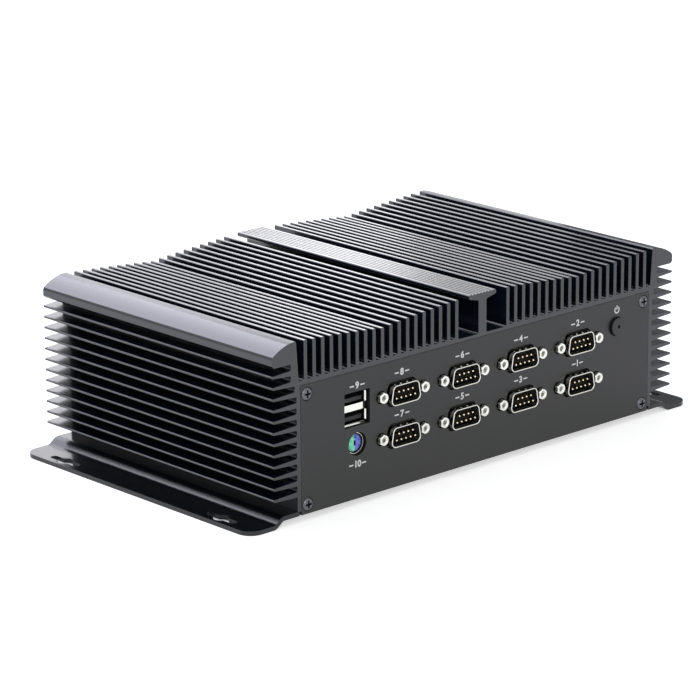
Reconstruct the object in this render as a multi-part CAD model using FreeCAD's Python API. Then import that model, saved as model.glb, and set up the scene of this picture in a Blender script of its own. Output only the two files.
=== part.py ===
"""Fanless industrial computer, built from its separate pieces.

Frame: X runs across the front from left to right, Y runs from the front to the
back, Z is up.  The origin is the middle of the footprint, on the surface that
the mounting flanges rest on.  Every length is in millimetres.

Heights named *_h are counted from the underside of the case body, and depths
along Y inside a port are counted from the outer face of its panel.
"""
import FreeCAD, Part
import math
import os

V = FreeCAD.Vector

# ---------------------------------------------------------------- whole case
case_width = 250.0            # over the tips of the side fins
case_depth = 156.5            # length of the extrusion
case_height = 78.6            # underside of the bottom plate to the top of the centre rail
seat_gap = 0.3                # air between parts that do not touch
fit_gap = 0.05                # radial air round a screw or a stem
cover_gap = 0.2               # seam round the two end panels

# ---------------------------------------------------------------- bottom plate
sheet_t = 2.0                 # folded steel sheet
flange_reach = 14.0           # mounting flange beyond the fin tips
flange_drop = 3.1             # how far the flanges sit below the body
joggle_offset = 7.4           # from the side wall to where the sheet starts to fold
joggle_angle = 38.0           # slope of the step, degrees
joggle_bend = 3.0             # inside radius of the folds
flange_corner = 7.0           # corner radius seen from above
keyhole_inset = 5.0           # from the edge of a flange to its row of keyholes
keyhole_span_y = 108.0        # between the keyholes of a row
keyhole_round = 7.2           # diameter of the round middle
keyhole_slot = 3.6            # width of the two narrow ends
keyhole_length = 19.2         # over both narrow ends

# ---------------------------------------------------------------- extrusion
side_reach = 15.7             # inside of the side wall to the fin tips
wall_t = 1.9                  # side wall between the low fins
wall_step = (3.1, 3.1, 1.0)   # extra wall behind the three top slots
deck_under_h = 56.5           # underside of the deck that carries the top fins
deck_t = 4.0
panel_top_h = 58.4            # top of the pocket that takes an end panel

fin_count = 19                # top fins on each side of the centre rail
fin_t = 1.8
fin_first_x = 16.0            # middle of the fin nearest to the centre rail
fin_high_h = 78.0             # tips of the tallest fins
fin_tip_r = 0.35              # round along both edges of a tip
valley_slope = 0.053          # how fast the tips fall towards the valley
valley_curve = 0.0006         # and how that fall grows, per millimetre
slot_gap = 3.2                # air between the last fin and the edge rail
root_r = 0.8                  # round in the foot of each slot

web_t = 4.8                   # centre rail: upright web
channel_h = 59.9              # floor of the wide channels beside the web
head_w = 16.8                 # centre rail: wide head
head_edge = 1.5               # height of the head's edge
head_slope = 1.6              # fall of the head's underside towards the web
head_bevel = 0.5
ridge_pitch = 2.0             # fine ridges along the head
ridge_groove = 0.7            # width of the groove between two ridges
ridge_depth = 0.45

rail_w = 14.9                 # edge rail at its foot
rail_lean = 1.2               # how far its inner face leans outwards
rail_top_h = 78.4
rail_shoulder_h = 73.8        # where the crowned top meets the outer corner
rail_bulge = 1.05             # crown of the top over its chord
rail_edge_r = 1.1
rail_under_h = 68.9
rail_bevel = 1.1

side_fin_count = 12
side_fin_top_h = 64.9         # middle of the highest side fin
side_fin_low_h = 9.9          # middle of the lowest side fin
side_fin_root_t = 2.3
side_fin_tip_t = 1.1

screw_rail_w = 7.4            # square rails inside the four long corners
screw_rail_h = 6.0

# ---------------------------------------------------------------- end panels
panel_t = 2.0
panel_screw_inset_x = 3.9     # screw middle to the inside of the side wall
panel_screw_low_h = 4.2
panel_screw_high_h = 53.9

# ---------------------------------------------------------------- screws
screw_r = 1.5                 # M3
csk_head_r = 3.0              # flat head
csk_head_t = 1.7
pan_head_r = 2.8
pan_head_t = 1.8
recess_arm = 3.4              # cross recess: length and width of an arm
recess_w = 0.9
recess_depth = 1.2
end_screw_len = 9.0
bottom_screw_len = 6.5
bottom_screw_y = (-52.0, 0.0, 52.0)

# ---------------------------------------------------------------- mainboard
board_half_x = 98.5
board_half_y = 71.5
board_t = 1.6
board_under_h = 48.9          # its component side looks down
post_x = (-86.0, 0.0, 86.0)
post_y = (-46.0, 46.0)
post_r = 3.0
post_stud = 2.6               # threaded end in the deck
board_screw_len = 5.5
processor_size = (37.5, 34.0)
processor_t = 1.6
spreader_size = 66.0
spreader_screw_inset = 5.0
spreader_screw_len = 6.4

memory_x, memory_y = 45.0, 8.0
memory_card_size = (67.6, 30.0)
storage_x, storage_y = -47.0, 6.0
storage_card_size = (29.9, 50.8)
card_t = 1.2
card_drop = 3.6               # board underside to the card
socket_depth = 6.4
socket_t = 5.4
chip_t = 0.9
cell_x, cell_y = -10.0, 24.0
cell_r, cell_t = 10.0, 3.2
choke_size, choke_t = 7.0, 4.0
capacitor_r, capacitor_t = 3.1, 6.0
power_part_x = (-20.0, -10.0, 10.0, 20.0)
choke_y, capacitor_y = -18.0, -30.0

# ---------------------------------------------------------------- serial ports
serial_column_x = (61.5, 24.5, -12.5, -49.5)
serial_low_h = 23.8
serial_high_h = 43.0
dsub_wide = 18.5              # shell: wide side, before its corners are rounded
dsub_h = 9.3
dsub_angle = 10.0             # slope of the shell's sides
dsub_corner = 2.6
dsub_wall = 0.5
dsub_reach = 3.0              # shell stands this far out of its panel
dsub_plate = (30.8, 12.5)     # flange behind the panel
dsub_plate_t = 0.8
dsub_floor = 1.6              # depth of the insulator's face
dsub_hole_gap = 1.1           # air round the shell in its cut-out
jack_span = 24.99             # between the two jackscrews
jack_across = 4.75            # hexagon across its flats
jack_reach = 2.2              # jackscrew stands this far out of its panel
jack_hole_gap = 0.25          # air round its corners
jack_shank_len = 6.0
jack_bore_r = 1.3
jack_bore_depth = 4.0
jack_chamfer = 0.35
pin_r = 0.5
pin_reach = 4.5
pin_pitch = 2.77
pin_row = 2.84
stack_front_t = 2.6
stack_block_w = 19.0
stack_depth = 14.0

# ---------------------------------------------------------------- front column
front_column_x = -76.2
data_shell = (13.6, 15.1)     # shell of the pair of flat data ports
data_lip = 0.1                # its front edge flares out this far
data_opening = (15.0, 15.7)   # hole in the panel
data_socket = (12.5, 5.4)
data_divider = 3.05
data_depth = 15.0
data_cavity = 11.5
tongue_w, tongue_t = 11.1, 1.8
tongue_rise = 0.9             # tongue above the floor of its socket
tongue_setback = 1.2
lip_t = 0.5
round_port_h = 25.0
round_hole_r = 5.3
ring_r, ring_wall = 4.45, 0.4
ring_setback = 1.0
insert_r = 3.9
insert_setback = 2.4
insert_depth = 9.0
insert_hole_r = 0.55
insert_hole_circle = 2.7
insert_key = (1.1, 2.4)
io_body_w = 13.4
io_body_margin = 6.1          # body below the middle of the round port
io_body_depth = 16.0

# ---------------------------------------------------------------- power button
button_x = 87.6
button_drop = 3.4             # middle of the button below the board
button_r = 4.4
button_hole_gap = 0.25
button_reach = 1.5            # stands out of the panel by this much
button_travel = 1.0
button_collar_r = 5.6
button_collar_t = 0.8
button_dimple_r = 0.8
button_dimple_depth = 1.0
stem_r = 1.6
stem_len = 8.0
switch_w = 8.6
switch_depth = 8.0

# ---------------------------------------------------------------- rear ports
inlet_x, inlet_drop = 84.0, 7.4      # drops are counted from the board to the port's middle
inlet_nose_r, inlet_bore_r, inlet_pin_r = 4.2, 3.2, 1.05
inlet_bore_depth = 9.5
inlet_body = (9.4, 13.0)      # width and depth
video_x, video_drop = 54.0, 8.3
video_wide, video_shell_h = 17.2, 7.9
video_hole_pitch, video_hole_row, video_hole_r = 2.29, 1.98, 0.45
screen_x, screen_drop = 21.0, 4.5
screen_outer = (15.2, 5.8)
screen_chamfer = 1.6
screen_wall = 0.5
screen_depth = 11.0
network_x = (-8.0, -30.0)
network_outer = (16.0, 27.4)
network_depth = 21.0
network_top_margin = 0.9
network_wall = 1.75
jack_socket = (11.8, 8.2, 13.0)
jack_latch = (6.0, 1.6)
contact_block_t = 1.2         # spring contacts under the roof of the network socket
contact_slope = 1.6           # they reach this much lower at the back
audio_x = (-55.0, -69.0)
audio_drop = 5.3
audio_nose_r, audio_bore_r = 3.0, 1.8
audio_body = (9.0, 12.0)

# ================================================================ derived sizes
base_z = flange_drop
front_y, rear_y = -case_depth / 2, case_depth / 2
tip_x = case_width / 2
wall_in_x = tip_x - side_reach
wall_out_x = wall_in_x + wall_t
rail_in_x = tip_x - rail_w
deck_top_h = deck_under_h + deck_t
fin_last_x = rail_in_x - slot_gap - fin_t / 2
fin_pitch = (fin_last_x - fin_first_x) / (fin_count - 1)
screw_rail_x = wall_in_x - screw_rail_w
panel_screw_x = wall_in_x - panel_screw_inset_x
bore_r = screw_r + fit_gap
jack_corner_r = jack_across / math.sqrt(3)
board_top_h = board_under_h + board_t
card_top_h = board_under_h - card_drop
spreader_screw_x = spreader_size / 2 - spreader_screw_inset
data_port_h = board_under_h - seat_gap - data_shell[1] / 2
io_body_low_h = round_port_h - io_body_margin
button_h = board_under_h - button_drop
inlet_h = board_under_h - inlet_drop
video_h = board_under_h - video_drop
screen_h = board_under_h - screen_drop
audio_h = board_under_h - audio_drop
joggle_start = wall_out_x + joggle_offset
flange_x = tip_x + flange_reach
keyhole_x = flange_x - keyhole_inset


# ================================================================ small tools
def block(x0, x1, y0, y1, z0, z1):
    """Box between two corners."""
    return Part.makeBox(x1 - x0, y1 - y0, z1 - z0, V(x0, y0, z0))


def post(x, y, r, z0, z1):
    """Upright cylinder."""
    return Part.makeCylinder(r, z1 - z0, V(x, y, z0))


def rod(x, z, r, y0, y1):
    """Cylinder along Y."""
    return Part.makeCylinder(r, y1 - y0, V(x, y0, z), V(0, 1, 0))


def slab(wire, y0, y1):
    """Solid between two depths, from a closed wire in the plane y = 0."""
    face = Part.Face(wire)
    face.translate(V(0, y0, 0))
    return face.extrude(V(0, y1 - y0, 0))


def moved(shape, x=0.0, y=0.0, z=0.0):
    """Copy of a shape, shifted."""
    copy = shape.copy()
    copy.translate(V(x, y, z))
    return copy


def cut_all(shape, tools):
    """Shape with every tool taken out of it."""
    return shape.cut(Part.makeCompound(tools))


def fused(shapes):
    """One solid out of several that touch."""
    return shapes[0].multiFuse(shapes[1:]).removeSplitter()


def at_front(shape, x, h):
    """Place a shape made round x = 0, height 0 and depth along +Y on the front panel."""
    return moved(shape, x, front_y, base_z + h)


def at_rear(shape, x, h):
    """The same for the rear panel, where depth runs along -Y."""
    turned = shape.copy()
    turned.rotate(V(0, 0, 0), V(0, 0, 1), 180)
    return moved(turned, x, rear_y, base_z + h)


class Outline:
    """Open chain of lines and arcs in the plane y = 0, drawn from point to point."""

    def __init__(self, x, z):
        self.at = (x, z)
        self.runs = []

    def line(self, x, z):
        """Straight run to a point."""
        if math.dist(self.at, (x, z)) > 1e-7:
            self.runs.append((self.at, None, (x, z)))
            self.at = (x, z)

    def through(self, mid, end):
        """Arc over a middle point to an end point."""
        self.runs.append((self.at, mid, end))
        self.at = end

    def arc(self, cx, cz, r, start, end):
        """Straight run to an arc round a middle, then the arc, angles in degrees."""
        spot = [(cx + r * math.cos(math.radians(a)), cz + r * math.sin(math.radians(a)))
                for a in (start, (start + end) / 2, end)]
        self.line(*spot[0])
        self.through(spot[1], spot[2])

    def edges(self, mirror=1):
        """The chain as edges, or its mirror image across x = 0."""
        made = []
        for start, mid, end in self.runs:
            a, b = (V(mirror * p[0], 0, p[1]) for p in (start, end))
            if mid is None:
                made.append(Part.LineSegment(a, b).toShape())
            else:
                made.append(Part.Arc(a, V(mirror * mid[0], 0, mid[1]), b).toShape())
        return made


def closed_wire(edges):
    """One closed wire out of loose edges."""
    return Part.Wire(Part.sortEdges(edges)[0])


def rounded_slot(length, width, x, y, z0, z1):
    """Upright cutter for a slot along Y with round ends."""
    half = length / 2 - width / 2
    return fused([block(x - width / 2, x + width / 2, y - half, y + half, z0, z1),
                  post(x, y - half, width / 2, z0, z1), post(x, y + half, width / 2, z0, z1)])


# ================================================================ screws
def cross_recess():
    """Cutter for a cross recess, in a head whose top is the plane y = 0."""
    arm, half = recess_arm / 2, recess_w / 2
    flat = block(-arm, arm, -1, recess_depth, -half, half)
    return flat.fuse(block(-half, half, -1, recess_depth, -arm, arm))


def flat_screw(length):
    """Flat-head screw along +Y, the top of its head at y = 0."""
    rim = csk_head_t - (csk_head_r - screw_r)
    outline = [V(0, 0, 0), V(csk_head_r, 0, 0), V(csk_head_r, rim, 0), V(screw_r, csk_head_t, 0),
               V(screw_r, length, 0), V(0, length, 0), V(0, 0, 0)]
    turned = Part.Face(Part.makePolygon(outline)).revolve(V(0, 0, 0), V(0, 1, 0), 360)
    return turned.cut(cross_recess())


def flat_screw_seat(thickness):
    """Cutter for the countersunk hole that takes a flat-head screw."""
    rim = csk_head_t - (csk_head_r - screw_r)
    r0, r1 = csk_head_r + 2 * fit_gap, screw_r + 2 * fit_gap
    outline = [V(0, -1, 0), V(r0, -1, 0), V(r0, rim, 0), V(r1, rim + r0 - r1, 0),
               V(r1, thickness + 1, 0), V(0, thickness + 1, 0), V(0, -1, 0)]
    return Part.Face(Part.makePolygon(outline)).revolve(V(0, 0, 0), V(0, 1, 0), 360)


def pan_screw(length):
    """Pan-head screw along +Y: head from y = -pan_head_t to 0, then the shank."""
    head = rod(0, 0, pan_head_r, -pan_head_t, 0)
    head = head.makeFillet(0.8, [e for e in head.Edges if e.BoundBox.YMax < -pan_head_t + 0.01])
    screw = fused([head, rod(0, 0, screw_r, 0, length)])
    return screw.cut(moved(cross_recess(), 0, -pan_head_t, 0))


def pointing_up(shape, x, y, z):
    """Turn a screw made along +Y so that it points up, and place it."""
    turned = shape.copy()
    turned.rotate(V(0, 0, 0), V(1, 0, 0), 90)
    return moved(turned, x, y, z)


# ================================================================ extrusion
def fin_tip_h(x):
    """Height of a top fin: the tips fall from both sides to a valley half way."""
    from_high = min(x - fin_first_x, fin_last_x - x)
    return fin_high_h - valley_slope * from_high - valley_curve * from_high ** 2


def centre_rail(pen):
    """Right half of the ridged head, its edge, its underside and the web."""
    half_head, half_web, half_groove = head_w / 2, web_t / 2, ridge_groove / 2
    grooves = int((half_head - head_bevel - half_groove) / ridge_pitch)
    for n in range(grooves + 1):
        middle = n * ridge_pitch
        if n:
            pen.line(middle - half_groove, case_height)
            pen.line(middle, case_height - ridge_depth)
        pen.line(middle + half_groove, case_height)
    pen.arc(half_head - head_bevel, case_height - head_bevel, head_bevel, 90, 0)
    edge_h = case_height - head_edge
    pen.line(half_head, edge_h)
    pen.line(half_head - head_bevel, edge_h - head_bevel)
    pen.line(half_web + head_bevel, edge_h - head_slope)
    pen.line(half_web, edge_h - head_slope - head_bevel)
    pen.arc(half_web + root_r, channel_h + root_r, root_r, 180, 270)


def top_fins(pen):
    """The fins, each with a flat tip and softened edges, and the rounded floors between."""
    for n in range(fin_count):
        x = fin_first_x + n * fin_pitch
        floor = channel_h if n == 0 else deck_top_h
        left, right, tip = x - fin_t / 2, x + fin_t / 2, fin_tip_h(x)
        pen.arc(left - root_r, floor + root_r, root_r, 270, 360)
        pen.arc(left + fin_tip_r, tip - fin_tip_r, fin_tip_r, 180, 90)
        pen.arc(right - fin_tip_r, tip - fin_tip_r, fin_tip_r, 90, 0)
        pen.arc(right + root_r, deck_top_h + root_r, root_r, 180, 270)


def edge_rail(pen):
    """The crowned rail along the top edge."""
    lean_x = rail_in_x + rail_lean
    pen.arc(rail_in_x - root_r, deck_top_h + root_r, root_r, 270, 360)
    pen.line(lean_x, rail_top_h - head_bevel)
    pen.line(lean_x + head_bevel, rail_top_h)
    start, end = (lean_x + head_bevel, rail_top_h), (tip_x - rail_edge_r / 2, rail_shoulder_h)
    run, fall, chord = end[0] - start[0], start[1] - end[1], math.dist(start, end)
    crown = ((start[0] + end[0]) / 2 + rail_bulge * fall / chord,
             (start[1] + end[1]) / 2 + rail_bulge * run / chord)
    pen.through(crown, end)
    pen.line(tip_x, rail_shoulder_h - rail_edge_r)
    pen.line(tip_x, rail_under_h + rail_bevel)
    pen.line(tip_x - rail_bevel, rail_under_h)


def side_fins(pen):
    """Tapered side fins from the edge rail down, and the slots between them."""
    steps = list(wall_step) + [0.0] * (side_fin_count + 1 - len(wall_step))
    pitch = (side_fin_top_h - side_fin_low_h) / (side_fin_count - 1)
    root, tip_r = side_fin_root_t / 2, side_fin_tip_t / 2
    pen.arc(wall_out_x + steps[0] + root_r, rail_under_h - root_r, root_r, 90, 180)
    for n in range(side_fin_count):
        middle = side_fin_top_h - n * pitch
        above, below = wall_out_x + steps[n], wall_out_x + steps[n + 1]
        pen.arc(above + root_r, middle + root + root_r, root_r, 180, 270)
        pen.arc(tip_x - tip_r, middle, tip_r, 90, -90)
        pen.arc(below + root_r, middle - root - root_r, root_r, 90, 180)


def inner_side(pen):
    """Foot of the side wall, the two screw rails and the underside of the deck."""
    pen.line(wall_out_x, sheet_t)
    pen.line(screw_rail_x, sheet_t)
    pen.line(screw_rail_x, sheet_t + screw_rail_h)
    pen.line(wall_in_x, sheet_t + screw_rail_h)
    pen.line(wall_in_x, deck_under_h - screw_rail_h)
    pen.line(screw_rail_x, deck_under_h - screw_rail_h)
    pen.line(screw_rail_x, deck_under_h)
    pen.line(0, deck_under_h)


def heatsink_housing():
    """Top, side walls and every fin in one extrusion, then its machined ends and holes."""
    pen = Outline(0, case_height - ridge_depth)
    for draw in (centre_rail, top_fins, edge_rail, side_fins, inner_side):
        draw(pen)
    body = slab(closed_wire(pen.edges() + pen.edges(mirror=-1)), front_y, rear_y)
    pocket = block(-wall_in_x, wall_in_x, 0, panel_t, 0, panel_top_h)
    cuts = [moved(pocket, y=front_y), moved(pocket, y=rear_y - panel_t)]
    end_bore = rod(0, 0, bore_r, 0, end_screw_len + 2)
    for sx in (-1, 1):
        for h in (panel_screw_low_h, panel_screw_high_h):
            cuts += [moved(end_bore, sx * panel_screw_x, front_y, h),
                     moved(end_bore, sx * panel_screw_x, rear_y - end_screw_len - 2, h)]
        for y in bottom_screw_y:
            cuts.append(post(sx * panel_screw_x, y, bore_r, 0, bottom_screw_len + seat_gap))
        for sy in (-1, 1):
            cuts.append(post(sx * spreader_screw_x, sy * spreader_screw_x, bore_r,
                             deck_under_h, deck_under_h + deck_t - 1.0))
    for x in post_x:
        for y in post_y:
            cuts.append(post(x, y, bore_r, deck_under_h, deck_under_h + post_stud + seat_gap))
    return moved(cut_all(body, cuts), z=base_z)


# ================================================================ sheet parts
def bottom_plate():
    """Sheet that closes the case from below and steps down to its two flanges."""
    slope = math.radians(joggle_angle)
    outer = joggle_bend + sheet_t
    bend_fall = (joggle_bend + outer) * (1 - math.cos(slope))
    ramp = (flange_drop - bend_fall) / math.sin(slope)
    low_x = joggle_start + (joggle_bend + outer) * math.sin(slope) + ramp * math.cos(slope)

    top = Outline(0, sheet_t)
    top.arc(joggle_start, sheet_t - outer, outer, 90, 90 - joggle_angle)
    top.arc(low_x, sheet_t - flange_drop + joggle_bend, joggle_bend, 270 - joggle_angle, 270)
    top.line(flange_x, sheet_t - flange_drop)
    top.line(flange_x, -flange_drop)
    top.arc(low_x, outer - flange_drop, outer, 270, 270 - joggle_angle)
    top.arc(joggle_start, -joggle_bend, joggle_bend, 90 - joggle_angle, 90)
    top.line(0, 0)
    plate = slab(closed_wire(top.edges() + top.edges(mirror=-1)), front_y, rear_y)

    upright = [e for e in plate.Edges
               if abs(e.BoundBox.ZLength - sheet_t) < 0.01 and e.BoundBox.XLength < 0.01
               and abs(abs(e.BoundBox.Center.x) - flange_x) < 0.01]
    plate = plate.makeFillet(flange_corner, upright)

    notch_x, notch = wall_in_x + 1.0, panel_t + seat_gap / 2
    cuts = [block(-notch_x, notch_x, front_y - 1, front_y + notch, -1, sheet_t + 1),
            block(-notch_x, notch_x, rear_y - notch, rear_y + 1, -1, sheet_t + 1)]
    seat = flat_screw_seat(sheet_t)
    low, high = -flange_drop - 1, sheet_t
    for sx in (-1, 1):
        cuts += [pointing_up(seat, sx * panel_screw_x, y, 0) for y in bottom_screw_y]
        for sy in (-1, 1):
            x, y = sx * keyhole_x, sy * keyhole_span_y / 2
            cuts.append(rounded_slot(keyhole_length, keyhole_slot, x, y, low, high)
                        .fuse(post(x, y, keyhole_round / 2, low, high)))
    return moved(cut_all(plate, cuts), z=base_z)


def blank_panel():
    """End panel with its four countersunk holes, its outer face at y = 0."""
    half = wall_in_x - cover_gap
    plate = block(-half, half, 0, panel_t, 0, panel_top_h - cover_gap)
    seat = flat_screw_seat(panel_t)
    return cut_all(plate, [moved(seat, sx * panel_screw_x, 0, h) for sx in (-1, 1)
                           for h in (panel_screw_low_h, panel_screw_high_h)])


def through_panel(shape, x, h):
    """Cutter for a hole in a panel at a place on it."""
    return moved(shape, x, 0, h)


# ================================================================ serial ports
def dsub_wire(wide, height, corner):
    """Closed D outline, its wide side down, round corners."""
    slant = math.tan(math.radians(dsub_angle)) * height
    low, high = wide / 2, wide / 2 - slant
    points = [V(-low, 0, -height / 2), V(low, 0, -height / 2), V(high, 0, height / 2),
              V(-high, 0, height / 2)]
    sides = [(points[i], points[(i + 1) % 4]) for i in range(4)]
    edges, trims = [], []
    for i, spot in enumerate(points):
        before = (spot - points[i - 1]).normalize()
        after = (points[(i + 1) % 4] - spot).normalize()
        half_turn = before.getAngle(after) / 2
        reach = corner * math.tan(half_turn)
        start, end = spot - before * reach, spot + after * reach
        towards = (after - before).normalize()
        mid = spot + towards * (corner / math.cos(half_turn) - corner)
        edges.append(Part.Arc(start, mid, end).toShape())
        trims.append((start, end))
    for i in range(len(sides)):
        edges.append(Part.LineSegment(trims[i][1], trims[(i + 1) % 4][0]).toShape())
    return closed_wire(edges)


def dsub_solid(y0, y1, grow=0.0, wide=dsub_wide, height=dsub_h):
    """D-shaped block between two depths, larger all round by grow."""
    return slab(dsub_wire(wide + 2 * grow, height + 2 * grow, dsub_corner + grow), y0, y1)


def dsub_shell(wide=dsub_wide, height=dsub_h):
    """Pressed metal shell: a D tube out through the panel and its flange behind it."""
    half_w, half_h = dsub_plate[0] / 2, dsub_plate[1] / 2
    flange = block(-half_w, half_w, panel_t, panel_t + dsub_plate_t, -half_h, half_h)
    tube = dsub_solid(-dsub_reach, panel_t + dsub_plate_t, 0, wide, height)
    inner = dsub_solid(-dsub_reach - 1, panel_t + dsub_plate_t + 1, -dsub_wall, wide, height)
    holes = [rod(sx * jack_span / 2, 0, bore_r, 0, panel_t + 2) for sx in (-1, 1)]
    return cut_all(fused([flange, tube]), [inner] + holes)


def dsub_nose(front, wide=dsub_wide, height=dsub_h):
    """Part of the insulator that fills the shell."""
    return dsub_solid(front, panel_t + dsub_plate_t, -dsub_wall - fit_gap, wide, height)


def dsub_panel_cut(wide=dsub_wide, height=dsub_h):
    """Cutter for the joined holes of one port: the shell's and its two jackscrews'."""
    return [dsub_solid(-1, panel_t + 1, dsub_hole_gap, wide, height)] + [
        rod(sx * jack_span / 2, 0, jack_corner_r + jack_hole_gap, -1, panel_t + 1)
        for sx in (-1, 1)]


def jackscrew():
    """Hexagonal jackscrew: body seated on the flange, threaded bore, shank into the port."""
    points = [V(jack_corner_r * math.cos(math.radians(60 * n + 30)), 0,
                jack_corner_r * math.sin(math.radians(60 * n + 30))) for n in range(7)]
    body = slab(Part.makePolygon(points), -jack_reach, panel_t)
    length, nose_r = jack_reach + panel_t, jack_corner_r - jack_chamfer
    cone = Part.makeCone(nose_r, nose_r + length, length, V(0, -jack_reach, 0), V(0, 1, 0))
    body = body.common(cone)
    screw = fused([body, rod(0, 0, screw_r, panel_t, jack_shank_len)])
    return screw.cut(rod(0, 0, jack_bore_r, -jack_reach - 1, jack_bore_depth - jack_reach))


def serial_rows():
    """Places of the nine contacts: four above, five below."""
    return [((n - (count - 1) / 2) * pin_pitch, side * pin_row / 2)
            for count, side in ((4, 1), (5, -1)) for n in range(count)]


def serial_pins():
    """Nine contacts with bevelled tips, standing on the insulator's face."""
    bevel = pin_r * 0.4
    outline = [V(0, 0, 0), V(pin_r, 0, 0), V(pin_r, -pin_reach + bevel, 0),
               V(pin_r - bevel, -pin_reach, 0), V(0, -pin_reach, 0), V(0, 0, 0)]
    pin = Part.Face(Part.makePolygon(outline)).revolve(V(0, 0, 0), V(0, 1, 0), 360)
    return [moved(pin, x, dsub_floor, h) for x, h in serial_rows()]


def serial_body():
    """Moulded body of one column: two noses, a front wall, a block down from the board."""
    front = panel_t + dsub_plate_t
    half_w, half_h = dsub_plate[0] / 2, dsub_plate[1] / 2
    back = front + stack_front_t
    wall = block(-half_w, half_w, front, back, serial_low_h - half_h, serial_high_h + half_h)
    core = block(-stack_block_w / 2, stack_block_w / 2, back, back + stack_depth,
                 serial_low_h - half_h, board_under_h)
    body = fused([wall, core] + [moved(dsub_nose(dsub_floor), z=h)
                                 for h in (serial_low_h, serial_high_h)])
    holes = [rod(sx * jack_span / 2, h, bore_r, 0, jack_shank_len + seat_gap)
             for sx in (-1, 1) for h in (serial_low_h, serial_high_h)]
    return cut_all(body, holes)


# ================================================================ front column
def data_sockets():
    """Middles of the two flat sockets, from the middle of the pair."""
    offset = (data_divider + data_socket[1]) / 2
    return (offset, -offset)


def data_shell_pair(outer, sockets, depth, cavity):
    """Metal shell with a flared lip, and a flat cavity for each socket."""
    front = panel_t + seat_gap
    half_w, half_h = outer[0] / 2, outer[1] / 2
    lip_w, lip_h = half_w + data_lip, half_h + data_lip
    solid = fused([block(-half_w, half_w, front, front + depth, -half_h, half_h),
                   block(-lip_w, lip_w, front, front + lip_t, -lip_h, lip_h)])
    return cut_all(solid, [socket_space(front, cavity, h) for h in sockets])


def socket_space(front, cavity, h):
    """The room inside one flat socket, its middle at height h."""
    half_w, half_h = data_socket[0] / 2, data_socket[1] / 2
    return block(-half_w, half_w, front - 1, front + cavity, h - half_h, h + half_h)


def tongue(front, cavity, h):
    """Plastic tongue of one flat socket with the block at its back."""
    floor = h - data_socket[1] / 2
    back = front + cavity
    half_w, gap = data_socket[0] / 2 - fit_gap, fit_gap
    bar = block(-tongue_w / 2, tongue_w / 2, front + tongue_setback, back,
                floor + tongue_rise, floor + tongue_rise + tongue_t)
    rear = block(-half_w, half_w, back - 1.5, back, floor + gap, h + data_socket[1] / 2 - gap)
    return fused([bar, rear])


def round_port_half(side):
    """Half of the round insert, with its contact holes and half of the key slot."""
    disc = rod(0, 0, insert_r, insert_setback, insert_depth)
    keep = block(0, insert_r + 1, 0, insert_depth + 1, -insert_r - 1, insert_r + 1)
    if side < 0:
        keep = moved(keep, -insert_r - 1)
    half_w, half_h = insert_key[0] / 2, insert_key[1] / 2
    deep = insert_setback + 2.0
    cuts = [block(-half_w, half_w, 0, deep, -half_h, half_h)]
    for angle in (28, 80, -35):
        a = math.radians(angle)
        cuts.append(rod(side * insert_hole_circle * math.cos(a), insert_hole_circle * math.sin(a),
                        insert_hole_r, 0, deep))
    half = cut_all(disc.common(keep), cuts)
    return moved(half, side * fit_gap / 2)


def front_io_body():
    """Moulded body that holds the round port and carries the pair of flat ports."""
    front = panel_t + seat_gap
    half = io_body_w / 2
    socket_low = data_port_h - data_shell[1] / 2 - data_lip - seat_gap
    back = front + data_depth + seat_gap
    foot = block(-half, half, front, front + io_body_depth, io_body_low_h, socket_low)
    column = block(-half, half, back, back + 3.0, io_body_low_h, board_under_h)
    body = fused([foot, column])
    return body.cut(rod(0, round_port_h, ring_r + fit_gap, 0, insert_depth + seat_gap))


def ring():
    """Bright metal ring of the round port."""
    tube = rod(0, 0, ring_r, ring_setback, insert_depth)
    return tube.cut(rod(0, 0, ring_r - ring_wall, 0, insert_depth + 1))


# ================================================================ power button
def power_button():
    """Round cap, retaining collar behind the panel and stem, moulded in one."""
    cap = rod(0, 0, button_r, -button_reach, panel_t + seat_gap)
    cap = cap.makeFillet(0.4, [e for e in cap.Edges
                               if e.BoundBox.YMax < -button_reach + 0.01])
    collar_y = panel_t + seat_gap
    collar = rod(0, 0, button_collar_r, collar_y, collar_y + button_collar_t)
    stem = rod(0, 0, stem_r, collar_y, collar_y + stem_len)
    dimple = rod(0, 0, button_dimple_r, -button_reach - 1, -button_reach + button_dimple_depth)
    return fused([cap, collar, stem]).cut(dimple)


def power_switch_body():
    """Switch housing under the board, with the bore that guides the stem."""
    front = panel_t + 2 * seat_gap + button_collar_t + button_travel
    half = switch_w / 2
    depth = stem_len + switch_depth / 2
    body = block(-half, half, front, front + depth, button_h - half, board_under_h)
    reach = panel_t + seat_gap + stem_len + button_travel + seat_gap
    return body.cut(rod(0, button_h, stem_r + fit_gap, 0, reach))


# ================================================================ rear ports
def inlet_parts():
    """Low-voltage inlet: block with a round nose and bore, and its centre pin."""
    half = inlet_body[0] / 2
    front = panel_t + seat_gap
    top = board_under_h - inlet_h
    body = fused([block(-half, half, front, front + inlet_body[1], -half, top),
                  rod(0, 0, inlet_nose_r, 0, front + 1)])
    body = body.cut(rod(0, 0, inlet_bore_r, -1, inlet_bore_depth))
    pin = rod(0, 0, inlet_pin_r, 1.0, inlet_bore_depth)
    return body, pin


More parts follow.
